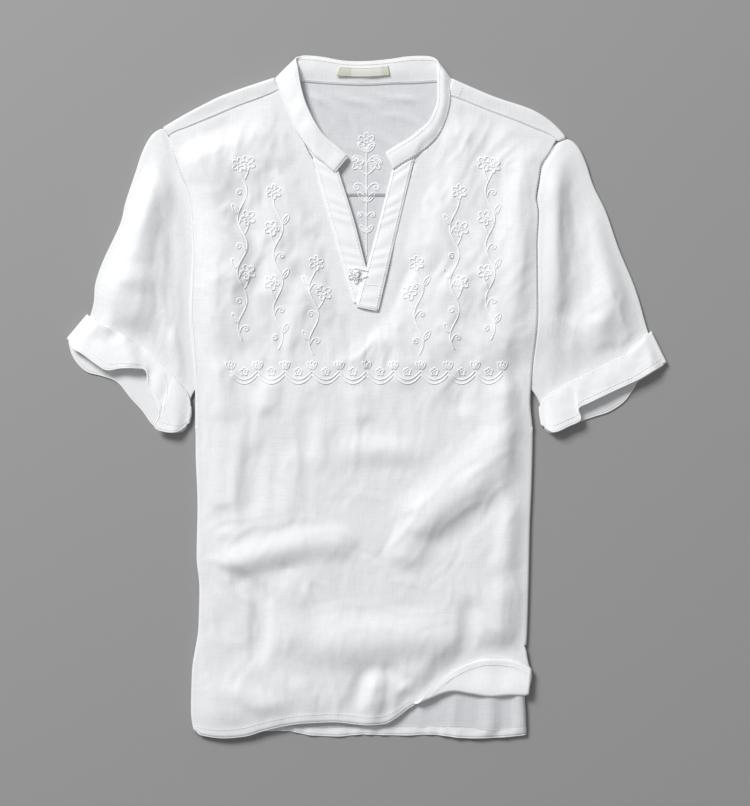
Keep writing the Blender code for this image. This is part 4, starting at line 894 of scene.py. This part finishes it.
def sleeveRise(x, y):
    folds = arm["puff"] + creaseHeight(arm["folds"], x, y, 6.0, 70)
    small = arm["creaseShare"] * creaseHeight(arm["creases"], x, y) + arm["crumple"] * crushed(x, y, 41)
    return (aboveNothing(folds, 2.0) + small) * smooth((outsideBody(x, y) - 2) / 20)


cuff = {
    "thickness": 1.2, "ringColumns": 12, "edgeRadius": 0.9, "above": 0.3, "flare": 2.4, "swell": 0.5,
    "left": {
        "upper": [(-297, 87), (-285, 78), (-272, 72), (-252, 61), (-236, 50), (-218, 34), (-203, 18),
                  (-192, 4), (-188, -9)],
        "front": [(-319, 61), (-313, 52), (-304, 47), (-289, 36), (-277, 29), (-262, 31), (-246, 31),
                  (-235, 28), (-232, 9), (-224, -7), (-221, -20), (-226, -31), (-218, -36), (-203, -37),
                  (-191, -29)],
        "back": [(-319, 61), (-315, 46), (-308, 35), (-298, 27), (-283, 23), (-266, 16), (-252, -1),
                 (-240, -14), (-229, -29), (-220, -34), (-206, -37), (-197, -36), (-191, -29)],
    },
    "right": {
        "upper": [(303, 69), (288, 55), (276, 42), (266, 39), (212, 12), (195, 2), (186, -9)],
        "front": [(319, 36), (305, 28), (290, 19), (264, 7), (239, -5), (226, -12), (228, -24), (215, -31),
                  (200, -37), (189, -31)],
        "back": [(319, 35), (303, 25), (290, 17), (286, 10), (276, -4), (260, -15), (242, -21),
                 (228, -26), (207, -35), (197, -38), (189, -32)],
    },
}


def armholeLine(side):
    tuck = arm["tuck"] if side == "left" else -arm["tuck"]
    middle = [(float(read(outline[side], y)) + tuck, y) for y in (257, 235, 205, 160, 110, 60)]
    return [arm[side]["arm"][0]] + middle + [arm[side]["under"][0]]


def sleeveLayer(side, upperLayer):
    lines = (armholeLine(side), arm[side]["end"], arm[side]["arm"], arm[side]["under"])

    def place(share, across):
        spot = coons(*lines, share, across)
        x, y = spot[..., 0], spot[..., 1]
        if upperLayer:
            ease = smooth(np.minimum(across, 1 - across) / 0.18) * (1 - 0.5 * insideCuff(x, y, side))
            beside = outsideBody(x, y)
            near = np.minimum(1, np.minimum(across, 1 - across) / 0.1) * (1 - insideCuff(x, y, side))
            lift = armholeLift(y) * smooth((beside + 5) / 4.5) * (1 - smooth((beside - 6) / 32))
            flush = (arm["rightRise"] * smooth((beside + 0.5) / 2.5) + lift) * (side == "right")
            tip = arm["tipRise"] * smooth((y - 235) / 30) * smooth(beside / 3)   # up to the yoke's end
            join = near * (arm["seamRise"] * smooth((beside + 12) / 8) + flush)
            z = level(2) + sleeveRise(x, y) * ease + arm["above"] + join + tip
        else:
            inside = 1 - smooth((outsideBody(x, y) - 4) / 10)
            z = level(np.maximum(inside, insideCuff(x, y, side))) + 0.2
        return np.stack([x, y, z], -1)

    return place


def cuffLayer(side, upperLayer):
    lines = cuff[side]

    def place(share, across):
        edge = lines["front"] if upperLayer else lines["back"]
        spot = mix(along(lines["upper"], across), along(edge, across), share[..., None])
        x, y = spot[..., 0], spot[..., 1]
        ease = smooth(np.minimum(across, 1 - across) / 0.1)
        if upperLayer:
            swell = cuff["swell"] * np.sin(across * 23 + 2 * np.sin(across * 9)) * np.sin(pi * share) * ease
            z = level(3) + sleeveRise(x, y) * ease + cuff["flare"] * share * ease + swell + cuff["above"]
        else:
            z = np.full_like(x, level(0) + cuff["above"])
        return np.stack([x, y, z], -1)

    return place


def ringPoint(top, bottom, column, share, ringColumns, edgePoints):  # flattened tube, round its folds
    side = ringColumns + edgePoints + 1
    column = np.mod(column, 2 * side)
    onTop = column <= ringColumns
    onBottom = (column >= side) & (column <= side + ringColumns)
    topSpot = top(share, np.clip(column / ringColumns, 0, 1))
    bottomSpot = bottom(share, np.clip(1 - (column - side) / ringColumns, 0, 1))
    atEnd = np.where(column < side, 1.0, 0.0)
    high, low = top(share, atEnd), bottom(share, atEnd)
    inner = top(share, np.where(atEnd > 0.5, 0.98, 0.02))
    outward = (high - inner) * np.array([1, 1, 0])
    outward = outward / np.linalg.norm(outward, axis=-1, keepdims=True)
    step = np.where(column < side, column - ringColumns, 2 * side - column)
    angle = (pi * step / (edgePoints + 1))[..., None]
    half = (high - low) / 2
    fold = (high + low) / 2 + half * np.cos(angle) + outward * np.abs(half[..., 2:]) * np.sin(angle)
    return np.where(onTop[..., None], topSpot, np.where(onBottom[..., None], bottomSpot, fold))


def clothTube(name, layer, side, settings, columnSteps, rowSteps, material):
    ringColumns, edgePoints = settings["ringColumns"], arm["edgePoints"]
    half = ringColumns + edgePoints + 1
    columns = stepped((ringColumns, columnSteps), (half, 8), (half + ringColumns, columnSteps),
                      (2 * half, 8))[:-1]

    def place(c, r):
        spot = ringPoint(layer(side, True), layer(side, False), c, r, ringColumns, edgePoints)
        return spot[..., 0], spot[..., 1], spot[..., 2]

    return clothGrid(name + side.capitalize(), columns, np.linspace(0, 1, rowSteps), place, material,
                     settings["thickness"], closed=True)


tubes = {}
for side in ("left", "right"):
    sleeve = clothTube("sleeve", sleeveLayer, side, arm, 48, 90, armLinen["Sleeve", side])
    turnBack = clothTube("cuff", cuffLayer, side, cuff, 72, 20, armLinen["Cuff", side])
    turnBack.data.materials.append(armLinen["Sleeve", side])
    for polygon in turnBack.data.polygons:  # what shows inside the opening is a single layer, in the plain linen without the cuff's painted light
        if polygon.center.z < level(1) * mm:
            polygon.material_index = 1
    tubes[side] = [attach(sleeve, "sleeve_" + side), attach(turnBack, "cuff_" + side)]
print("sleeves and cuffs made")

# thread and edges: thin rods and cords that follow the cloth
def evenPoints(line, step):
    line = np.asarray(line, float)
    reach = np.concatenate([[0], np.cumsum(np.linalg.norm(np.diff(line, axis=0), axis=1))])
    count = max(2, int(round(reach[-1] / step)) + 1)
    share = np.linspace(0, reach[-1], count)
    return np.stack([np.interp(share, reach, line[:, k]) for k in range(line.shape[1])], -1)


def cordMesh(name, lines, radius, material, sides=6, flatten=1.0, pointed=0.35):  # tubes along 3-D lines
    points, faces = [], []
    for line in lines:
        line = np.asarray(line, float)
        ahead = np.gradient(line, axis=0)
        ahead /= np.maximum(np.linalg.norm(ahead, axis=1, keepdims=True), 1e-9)
        across = np.stack([-ahead[:, 1], ahead[:, 0], np.zeros(len(line))], -1)
        across /= np.maximum(np.linalg.norm(across, axis=1, keepdims=True), 1e-9)
        up = np.cross(ahead, across)
        up = up * np.sign(up[:, 2:] + 1e-9)
        size = np.full(len(line), radius)
        size[0] = size[-1] = radius * pointed
        start = len(points)
        for k in range(sides):
            angle = 2 * pi * (k + 0.5) / sides
            ring = line + (across * np.cos(angle) + up * np.sin(angle) * flatten) * size[:, None]
            points += ring.tolist()
        count = len(line)
        for k in range(sides):
            a, b = start + k * count, start + (k + 1) % sides * count
            faces += [(a + i, a + i + 1, b + i + 1, b + i) for i in range(count - 1)]
        faces.append([start + k * count for k in range(sides)])
        faces.append([start + k * count + count - 1 for k in range(sides)][::-1])
    return newMesh(name, points, faces, material)


# sewing thread: glossy twisted cotton, brighter than the linen, so stitches show as fine light dashes
thread = {
    "colour": "#f6f7f9", "roughness": 0.55, "sheen": 0.1, "ior": 1.5,
    "pitch": 3.0, "gap": 0.9,   # millimetres; real stitches are 2.2 long, drawn longer so that they show
    "radius": 0.3, "twist": 0.8,
}


def threadMaterial(name, settings):
    material, coords = emptyMaterial(name)
    strands = addNode(material, "ShaderNodeTexWave",
                      {"wave_type": "BANDS", "bands_direction": "DIAGONAL",
                       "Scale": 100 * pi / settings["twist"], "Distortion": 1.0, "Detail": 1.0},
                      {"Vector": coords.outputs["Object"]})
    relief = addNode(material, "ShaderNodeBump", {"Strength": 0.5, "Distance": 0.15 * mm},
                     {"Height": strands.outputs["Fac"]})
    finishMaterial(material, settings, {"Normal": relief.outputs["Normal"]}, {})
    return material


cottonThread = threadMaterial("cottonThread", thread)


def stitches(name, lines, lift=0.15):
    dashes = []
    for line in lines:
        spots = evenPoints(line, thread["pitch"])
        for a, b in zip(spots, spots[1:]):
            share = thread["gap"] / thread["pitch"] / 2
            first, last = mix(a, b, share), mix(a, b, 1 - share)
            middle = (first + last) / 2 + np.array([0, 0, 0.2])
            dashes.append(np.array([first, middle, last]) + np.array([0, 0, lift]))
    return attach(cordMesh(name, dashes, thread["radius"], cottonThread, sides=4, pointed=0.5))


def edgeRoll(name, lines, radius, material):
    return attach(cordMesh(name, lines, radius, material, sides=8, pointed=0.6))


def surfaceLine(xs, ys, surface):
    xs, ys = np.asarray(xs, float), np.asarray(ys, float)
    return np.stack([xs, ys, surface(xs, ys)], -1)


def placedLine(place, columns, rows):
    columns, rows = np.broadcast_arrays(np.asarray(columns, float), np.asarray(rows, float))
    return np.stack(place(columns, rows), -1)


half = front["thickness"] / 2
up = np.array([0, 0, half])
sewing = {   # where rows of stitches run, in millimetres: their ends and how far they lie from the edge
    "frontHem": (-182, 46), "hemUp": 8.2, "armhole": (22, 268), "armholeIn": 2.6,
    "turnedHem": (84, 168), "turnedIn": 8.0, "backUp": 9.0,
    "frontRoll": 0.6, "backRoll": 0.7, "yokeRoll": 0.45,   # radius of the folded edges
}
hemX = np.linspace(*sewing["frontHem"], 150)
frontHemLine = surfaceLine(hemX, read(outline["frontHem"], hemX) + sewing["hemUp"], frontHeight)
mainSteps = np.linspace(sideEnd, mainEnd, 200)
frontEdgeLine = placedLine(placeFront, mainSteps, front["turnRows"])
frontEdgeLine = frontEdgeLine[frontEdgeLine[:, 0] < 52]
turnedLine = placedLine(placeFront, mainSteps, 0)
turnedLine = turnedLine[turnedLine[:, 0] > 54]
armYs = np.linspace(*sewing["armhole"], 90)
leftArmLine = surfaceLine(read(outline["left"], armYs) + sewing["armholeIn"], armYs, frontHeight)
rightArmLine = surfaceLine(read(outline["right"], armYs) - sewing["armholeIn"], armYs, frontHeight)
frontStitches = stitches("frontStitches", [frontHemLine + up, leftArmLine + up, rightArmLine + up])


def turnedHemPoint(x):  # point on the turned corner one hem's width from its edge
    steps = np.linspace(0, mainEnd - sideEnd, 200)
    columns = np.interp(x, frontMain(steps, np.full(200, float(front["turnRows"])))[0], steps) + sideEnd
    spots = np.array([placedLine(placeFront, columns, row) for row in np.linspace(0, 2, 41)])
    distance = np.abs(np.linalg.norm(spots - spots[0], axis=-1) - sewing["turnedIn"])
    return spots[distance.argmin(0), np.arange(len(columns))]


turnedStitches = stitches("turnedStitches", [turnedHemPoint(np.linspace(*sewing["turnedHem"], 60)) + up])
frontRolls = edgeRoll("frontHemRoll", [frontEdgeLine, turnedLine], sewing["frontRoll"], linenPanel)
backHemLine = placedLine(placeBack, np.linspace(sideEnd, backEnd, 220), 0)
backHemRoll = edgeRoll("backHemRoll", [backHemLine], sewing["backRoll"], linenPanel)
backRow = placedLine(placeBack, np.linspace(sideEnd + 0.4, backEnd - 0.4, 220), 0.5)
backRow[:, 1] = read(outline["backHem"], backRow[:, 0]) + sewing["backUp"]
backStitches = stitches("backStitches", [backRow + up])

bandSteps = np.linspace(0.1, bandEnd - 0.1, 220)
bandUp = np.array([0, 0, collar["thickness"] / 2])
bandRows = [placedLine(placeBand, bandSteps, row) + bandUp for row in (0.09, 0.87)]
collarStitches = stitches("collarStitches", bandRows)
rim = placedLine(placeBand, np.linspace(0, bandEnd, 240), 1)
bandEnds = [placedLine(placeBand, column, np.linspace(0, 1, 20)) for column in (0, bandEnd)]
collarRim = edgeRoll("collarRim", [rim] + bandEnds, collar["rimRadius"], linenDoublePaintedLight)

stripLines, stripEdges = [], []
for side in ("left", "right"):
    steps = np.linspace(0.02, 1, 70)
    for across in (0.1, 0.9):
        stripLines.append(np.stack(stripPoint(side, np.full(70, across), steps), -1))
    for across in (0.0, 1.0):
        stripEdges.append(np.stack(stripPoint(side, np.full(80, across), np.linspace(0, 1, 80)), -1))
for share in (0.02, 0.16):
    stripLines.append(np.stack(stripPoint("right", np.linspace(0.1, 0.9, 14), np.full(14, share)), -1))
stripEdges.append(np.stack(stripPoint("right", np.linspace(0, 1, 14), np.zeros(14)), -1))
placketUp = np.array([0, 0, placket["thickness"] / 2])
placketStitches = stitches("placketStitches", [line + placketUp for line in stripLines])
placketEdges = edgeRoll("placketEdges", stripEdges, placket["edgeRadius"], linenDoublePaintedLight)

seamRow = yokeTop - 0.18   # the yoke's stitches run close beside its edge
yokeLines = [placedLine(placeYoke, np.linspace(0.3, neckFrom - 0.2, 80), seamRow),
             placedLine(placeYoke, np.linspace(neckTo + 0.2, yokeEnd - 0.3, 80), seamRow),
             placedLine(placeYoke, np.linspace(7.0, 21.0, 120), 0.1),
             placedLine(placeYoke, 19.9, np.linspace(9.2, 10.9, 20))]   # a tack on the right shoulder
yokeStitches = stitches("yokeStitches", [line + np.array([0, 0, 0.45]) for line in yokeLines])
yokeRolls = edgeRoll("yokeSeamRolls", [placedLine(placeYoke, np.linspace(0, neckFrom, 90), yokeTop),
                                       placedLine(placeYoke, np.linspace(neckTo, yokeEnd, 90), yokeTop),
                                       placedLine(placeYoke, np.linspace(6, 22, 160), 0)],
                     sewing["yokeRoll"], linenPanel)


def cuffLine(side, upperLayer, share, count=120):
    return cuffLayer(side, upperLayer)(np.full(count, share), np.linspace(0.01, 0.99, count))


upperHalf = np.array([0, 0, cuff["thickness"] / 2])
for side in ("left", "right"):
    rows = [cuffLine(side, True, 0.83) + upperHalf]
    if side == "left":
        seam = cuffLayer(side, True)(np.linspace(0.12, 0.85, 30), np.linspace(0.67, 0.885, 30))
        rows.append(seam + upperHalf)
    edges = [cuffLine(side, True, 0.0), cuffLine(side, True, 1.0), cuffLine(side, False, 1.0)]
    sewn = stitches("cuffStitches" + side.capitalize(), rows)
    rolled = edgeRoll("cuffEdges" + side.capitalize(), edges, cuff["edgeRadius"], armLinen["Cuff", side])
    tubes[side] += [sewn, rolled]
print("edges and stitches made")

# bare woven tape inside the back band: satin face with fine cross ribs, so it looks smooth and creamy
label = {
    "span": (12.85, 14.95), "rise": (0.34, 0.76), "lift": 1.6, "thickness": 0.45, "swell": 0.35,
    "colour": "#f1f1e8", "ends": "#e0e3d2", "roughness": 0.48, "ior": 1.5, "sheen": 0.15, "ribPitch": 0.8,
    "endFrom": 15.0, "endTo": 17.0,   # greener ends, by distance from the middle
}


def tapeMaterial():
    material, coords = emptyMaterial("wovenTape")
    ribs = addNode(material, "ShaderNodeTexWave",
                   {"wave_type": "BANDS", "bands_direction": "Y", "Scale": 100 * pi / label["ribPitch"],
                    "Distortion": 0.8, "Detail": 1.0}, {"Vector": coords.outputs["Object"]})
    relief = addNode(material, "ShaderNodeBump", {"Strength": 0.4, "Distance": 0.1 * mm},
                     {"Height": ribs.outputs["Fac"]})
    parts = addNode(material, "ShaderNodeSeparateXYZ", links={"Vector": coords.outputs["Object"]})
    away = addNode(material, "ShaderNodeMath", {"operation": "ABSOLUTE"}, {0: parts.outputs["X"]})
    ends = addNode(material, "ShaderNodeMapRange",
                   {"From Min": label["endFrom"] * mm, "From Max": label["endTo"] * mm},
                   {"Value": away.outputs["Value"]})
    colour = twoTones(material, label["colour"], label["ends"], ends)
    finishMaterial(material, label, {"Normal": relief.outputs["Normal"]}, colour)
    return material


def placeLabel(column, row):
    spot = bandPoint(mix(*label["span"], column), mix(*label["rise"], row))
    swell = label["swell"] * np.sin(pi * row) + 0.2 * np.sin(column * 11 + 1)
    return spot[..., 0], spot[..., 1], spot[..., 2] + label["lift"] + swell


labelSheet = clothGrid("neckLabel", np.linspace(0, 1, 49), np.linspace(0, 1, 11), placeLabel, tapeMaterial(),
                       label["thickness"])
attach(labelSheet, "neck_label")
labelLines = [placedLine(placeLabel, np.linspace(0.02, 0.98, 60), row) for row in (0.1, 0.9)]
labelLines += [placedLine(placeLabel, column, np.linspace(0.1, 0.9, 12)) for column in (0.02, 0.98)]
labelStitches = stitches("labelStitches", labelLines, 0.3)

# knotted cord button and its twisted loop: dense cotton cord, matt with a fine lay, so each strand reads
fastening = {
    "x": -10.5, "y": 131.5, "knotRadius": 3.5, "knotRise": 0.95, "cord": 1.15, "crown": 2.2,
    "loopReach": 5.95, "loopOpening": 0.62, "loopStretch": 7.0, "loopNarrow": 0.75, "loopCord": 0.36,
    "twists": 13,
    "ears": [(150, 6.0), (205, 6.5), (262, 7.0), (300, 5.0)],   # degrees and reach of the small loops
    "colour": "#f4f5f6", "roughness": 0.7, "sheen": 0.2, "ior": 1.5, "twist": 0.7,
}
cottonCord = threadMaterial("cottonCord", fastening)
strandTurn = np.linspace(0, 2 * pi, 90)
knotLine = np.stack([
    fastening["x"] + fastening["knotRadius"] * (np.sin(strandTurn) + 1.9 * np.sin(2 * strandTurn)) / 2.9,
    fastening["y"] + fastening["knotRadius"] * (np.cos(strandTurn) - 1.9 * np.cos(2 * strandTurn)) / 2.9,
    level(4) + 2.9 - fastening["knotRise"] * np.sin(3 * strandTurn)], -1)
crownTurn = np.linspace(0, 2 * pi, 40)
crownLine = np.stack([
    fastening["x"] + fastening["crown"] * np.cos(crownTurn),
    fastening["y"] + fastening["crown"] * np.sin(crownTurn),
    level(4) + 2.3 + 0.4 * np.sin(2 * crownTurn)], -1)
earLines = []
for turn, reach in fastening["ears"]:
    swing = np.linspace(0, 2 * pi, 30)
    outX = 3.2 + reach * (1 - np.cos(swing)) / 2
    outY = 0.3 * reach * np.sin(swing)
    angle = radians(turn)
    earLines.append(np.stack([fastening["x"] + outX * np.cos(angle) - outY * np.sin(angle),
                              fastening["y"] + outX * np.sin(angle) + outY * np.cos(angle),
                              level(4) + 1.7 + 0.5 * np.sin(swing)], -1))
ears = cordMesh("buttonEars", earLines, 0.55, cottonCord, sides=8, pointed=1.0)
attach(ears)
knot = cordMesh("buttonKnot", [knotLine, crownLine], fastening["cord"], cottonCord, sides=10, pointed=1.0)
attach(knot, "button")
loopShare = np.linspace(0, 1, 110)
loopAngle = mix(fastening["loopOpening"], 2 * pi - fastening["loopOpening"], loopShare)
loopEnds = np.abs(2 * loopShare - 1)
loopLine = np.stack([
    fastening["x"] + fastening["loopReach"] * np.cos(loopAngle)
    + fastening["loopStretch"] * smooth((loopEnds - 0.62) / 0.38),
    fastening["y"] + fastening["loopReach"] * np.sin(loopAngle)
    * mix(1.0, fastening["loopNarrow"], smooth((loopEnds - 0.5) * 2)),
    mix(level(4) + 1.5, level(5) + 1.5, smooth((loopEnds - 0.35) / 0.35))], -1)
lay = loopShare[:, None] * 2 * pi * fastening["twists"]
aside = np.gradient(loopLine, axis=0)
aside = np.stack([-aside[:, 1], aside[:, 0], np.zeros(110)], -1)
aside /= np.linalg.norm(aside, axis=1, keepdims=True)
strands = [loopLine + 0.33 * (aside * np.cos(lay + turn) + np.array([0, 0, 1]) * np.sin(lay + turn))
           for turn in (0, pi)]
loop = cordMesh("buttonLoop", strands, fastening["loopCord"], cottonCord, sides=6, pointed=0.9)
attach(loop, "button_loop")
print("label, button and loop made")

# plain vines, blossoms and scallops embroidered in white rayon: soft gloss, raised like satin stitch
embroidery = {
    "colour": "#fafbfd", "roughness": 0.42, "sheen": 0.05, "ior": 1.53, "twist": 0.9,
    "radius": 0.8, "flatten": 0.85, "step": 1.5,
}
rayonThread = threadMaterial("rayonThread", embroidery)


def curlLine(x, y, angle, side, length, turn=9.5):  # line that winds up to one side
    t = np.linspace(0, 1, 70)
    heading = np.radians(angle) + side * turn * t ** 2.1
    step = length / 70
    return np.stack([x + np.cumsum(np.cos(heading)) * step, y + np.cumsum(np.sin(heading)) * step], -1)


def leafLines(x, y, angle, length, width):
    t = np.linspace(0, 1, 18)
    edge = width / 2 * np.sin(pi * t) ** 0.8 * (1 - 0.25 * t)
    turn = np.radians(angle)
    ahead, across = np.array([np.cos(turn), np.sin(turn)]), np.array([-np.sin(turn), np.cos(turn)])
    start = np.array([x, y])
    return [start + t[:, None] * length * ahead + s * edge[:, None] * across for s in (1, -1)] + [
        start + t[:12, None] * length * ahead]


def blossomLines(x, y, size, petals, angle):
    lines = []
    for k in range(petals):
        turn = np.radians(angle) + 2 * pi * k / petals
        t = np.linspace(0, 1, 18)
        a = turn + 0.92 * pi / petals * (2 * t - 1)
        r = size * (0.34 + 0.66 * np.sin(pi * t) ** 0.55)
        lines.append(np.stack([x + r * np.cos(a), y + r * np.sin(a)], -1))
    ring = np.linspace(0, 2 * pi, 20)
    lines.append(np.stack([x + size * 0.26 * np.cos(ring), y + size * 0.26 * np.sin(ring)], -1))
    return lines


def sprouts(stem, places):  # curls, leaves and blossoms on a stem: share along it, side, kind and size
    lines = []
    for share, side, kind, size in places:
        spot = along(stem, share)
        ahead = along(stem, share + 0.02) - along(stem, share - 0.02)
        angle = np.degrees(np.arctan2(ahead[1], ahead[0]))
        if kind == "curl":
            lines.append(curlLine(*spot, angle + side * 30, side, size))
        elif kind == "leaf":
            lines += leafLines(*spot, angle + side * 42, size, size * 0.42)
        else:
            stalk = curlLine(*spot, angle + side * 55, -side, size * 1.5, 0.9)
            lines += [stalk] + blossomLines(*stalk[-1], size * 0.62, 5, angle)
    return lines


vines = [   # upright vines on one side: x, lowest y, highest y, first side of the wave
    {"x": 56, "low": 44, "high": 136, "side": 1},
    {"x": 94, "low": 50, "high": 212, "side": -1},
    {"x": 132, "low": 60, "high": 240, "side": 1},
]
vineWave, vineBay = 5.0, 58.0   # sideways swing and length of one wave, in millimetres
scallop = {"count": 5, "width": 29.0, "base": 24.0, "drop": 10.0}
neckStem = [(0, 150), (0, 180), (0, 210), (0, 240), (0, 268)]


def vineLine(vine, y):
    return vine["x"] + vine["side"] * vineWave * np.sin(2 * pi * (y - vine["low"]) / vineBay)


def vineDesign(vine):  # a wavy stem with a curl and a blossom or leaf in each bay
    y = np.linspace(vine["low"], vine["high"], 120)
    stem = np.stack([vineLine(vine, y), y], -1)
    bays = int((vine["high"] - vine["low"]) / vineBay * 2)
    places = []
    for bay in range(bays):
        share = (bay + 0.5) * vineBay / 2 / (vine["high"] - vine["low"])
        inner = vine["side"] * (-1 if bay % 2 else 1)
        places.append((share - 0.04, inner, "curl", 30))
        shift, kind = (0.06, "blossom") if bay % 2 else (0.02, "leaf")
        places.append((share + shift, -inner, kind, 13))
    return [stem] + sprouts(stem, places) + blossomLines(stem[-1][0], stem[-1][1] + 7, 8, 6, 90)


def borderDesign():  # scallops with a leaf spray where they meet
    lines = []
    for number in range(scallop["count"]):
        t = np.linspace(0, 1, 40)
        for inset in (0.0, 4.5):
            y = scallop["base"] + inset - scallop["drop"] * np.sin(pi * t) ** 0.8
            lines.append(np.stack([(number + t) * scallop["width"], y], -1))
        middle = (number + 0.5) * scallop["width"]
        lines += blossomLines(middle, scallop["base"] + 3, 4.5, 5, 90)
    for number in range(scallop["count"] + 1):
        for angle in (60, 90, 120) if number else (64, 90):
            lines += leafLines(number * scallop["width"], scallop["base"] + 5, angle, 10, 4.2)
    return lines


def flankDesign():  # one side of the front, drawn for positive x
    lines = borderDesign()
    for vine in vines:
        lines += vineDesign(vine)
    return lines


def backDesign():  # inside the back, seen through the neck
    pairs = [(0.22, "leaf", 11), (0.36, "curl", 24), (0.5, "leaf", 14), (0.6, "curl", 36),
             (0.74, "blossom", 11), (0.84, "curl", 40), (0.95, "leaf", 14)]
    places = [(share, side, kind, size) for share, kind, size in pairs for side in (1, -1)]
    stem = along(neckStem, np.linspace(0, 1, 80))
    return [stem] + sprouts(neckStem, places) + blossomLines(0, 274, 9, 6, 90)


def keptRuns(line, inside):  # the stretches of a line that lie where the design may be
    runs, run = [], []
    for spot, good in zip(line, inside):
        if good:
            run.append(spot)
        elif run:
            runs.append(run)
            run = []
    runs.append(run)
    return [np.array(r) for r in runs if len(r) > 2]


def embroider(name, lines, surface, allowed, offset):
    cords = []
    for line in lines:
        spots = evenPoints(line, embroidery["step"])
        for run in keptRuns(spots, allowed(spots[:, 0], spots[:, 1])):
            cords.append(np.column_stack([run, surface(run[:, 0], run[:, 1]) + offset]))
    piece = cordMesh(name, cords, embroidery["radius"], rayonThread, flatten=embroidery["flatten"])
    return attach(piece)


def besidePlacket(x, y):
    return (np.abs(x) > openingHalf(y) + 5 * (y > 88)) & (x > -165) & (x < 165)


flank = flankDesign()
bothFlanks = flank + [np.stack([-line[:, 0], line[:, 1]], -1) for line in flank]
flankEmbroidery = embroider("flankEmbroidery", bothFlanks, frontHeight, besidePlacket, half + 0.1)


def innerBack(x, y):  # height of the yoke or back behind the neck
    creases = [np.maximum(0, creaseHeight(piece["creases"], x, y)) for piece in (yoke, back)]
    onYoke = level(0) + yoke["above"] + creases[0] + yokeRelief(x, y) + yokeSeamRise(y)
    return np.where(y > back["yokeSeam"] - yoke["lap"], onYoke, level(0) + back["above"] + creases[1])


def behindNeck(x, y):
    return np.abs(x) < 40


backEmbroidery = embroider("backEmbroidery", backDesign(), innerBack, behindNeck, half + 0.1)
print("embroidery made")

# plain pale floor, soft light from the upper left and a camera straight above
studio = {
    "floor": "#9d9d9d", "floorRoughness": 0.8, "floorSize": 3.0, "lens": 85.0, "sensor": 36.0,
    "frameHeight": 861.6, "aimX": 9.1, "aimY": -6.4, "aimZ": 5.0,
    "keyPower": 280.0, "keySize": 1.9, "keyPlace": (-2.6, 3.3, 3.6),
    "fillPower": 1.7, "fillSize": 2.4, "fillPlace": (0.4, -0.5, 2.3), "world": 0.27,
}


def makeStudio():
    floorMaterial = bpy.data.materials.new("paintedBoard")  # matt painted board: even and dull
    floorMaterial.use_nodes = True
    shader = floorMaterial.node_tree.nodes["Principled BSDF"]
    shader.inputs["Base Color"].default_value = srgb(studio["floor"])
    shader.inputs["Roughness"].default_value = studio["floorRoughness"]
    bpy.ops.mesh.primitive_plane_add(size=studio["floorSize"], location=(0, 0, -0.0003))
    floor = bpy.context.object
    floor.name = "floor"
    floor.data.materials.append(floorMaterial)
    for name, power, size, place in (("key", studio["keyPower"], studio["keySize"], studio["keyPlace"]),
                                     ("fill", studio["fillPower"], studio["fillSize"], studio["fillPlace"])):
        light = bpy.data.lights.new(name, "AREA")
        light.energy = power
        light.size = size
        lamp = bpy.data.objects.new(name, light)
        lamp.location = place
        direction = -np.array(place)
        pitch = np.arctan2(np.hypot(direction[0], direction[1]), -direction[2])
        lamp.rotation_euler = (pitch, 0, np.arctan2(direction[1], direction[0]) - pi / 2)
        bpy.context.scene.collection.objects.link(lamp)
    world = bpy.data.worlds.new("studioAir")
    world.use_nodes = True
    world.node_tree.nodes["Background"].inputs["Color"].default_value = (1, 1, 1, 1)
    world.node_tree.nodes["Background"].inputs["Strength"].default_value = studio["world"]
    bpy.context.scene.world = world
    camera = bpy.data.cameras.new("overhead")
    camera.lens = studio["lens"]
    camera.sensor_width = studio["sensor"]
    above = studio["lens"] / studio["sensor"] * studio["frameHeight"] + studio["aimZ"]
    eye = bpy.data.objects.new("overhead", camera)
    eye.location = (studio["aimX"] * mm, studio["aimY"] * mm, above * mm)
    bpy.context.scene.collection.objects.link(eye)
    bpy.context.scene.camera = eye
    bpy.context.scene.view_settings.view_transform = "Standard"


makeStudio()
print("studio made")
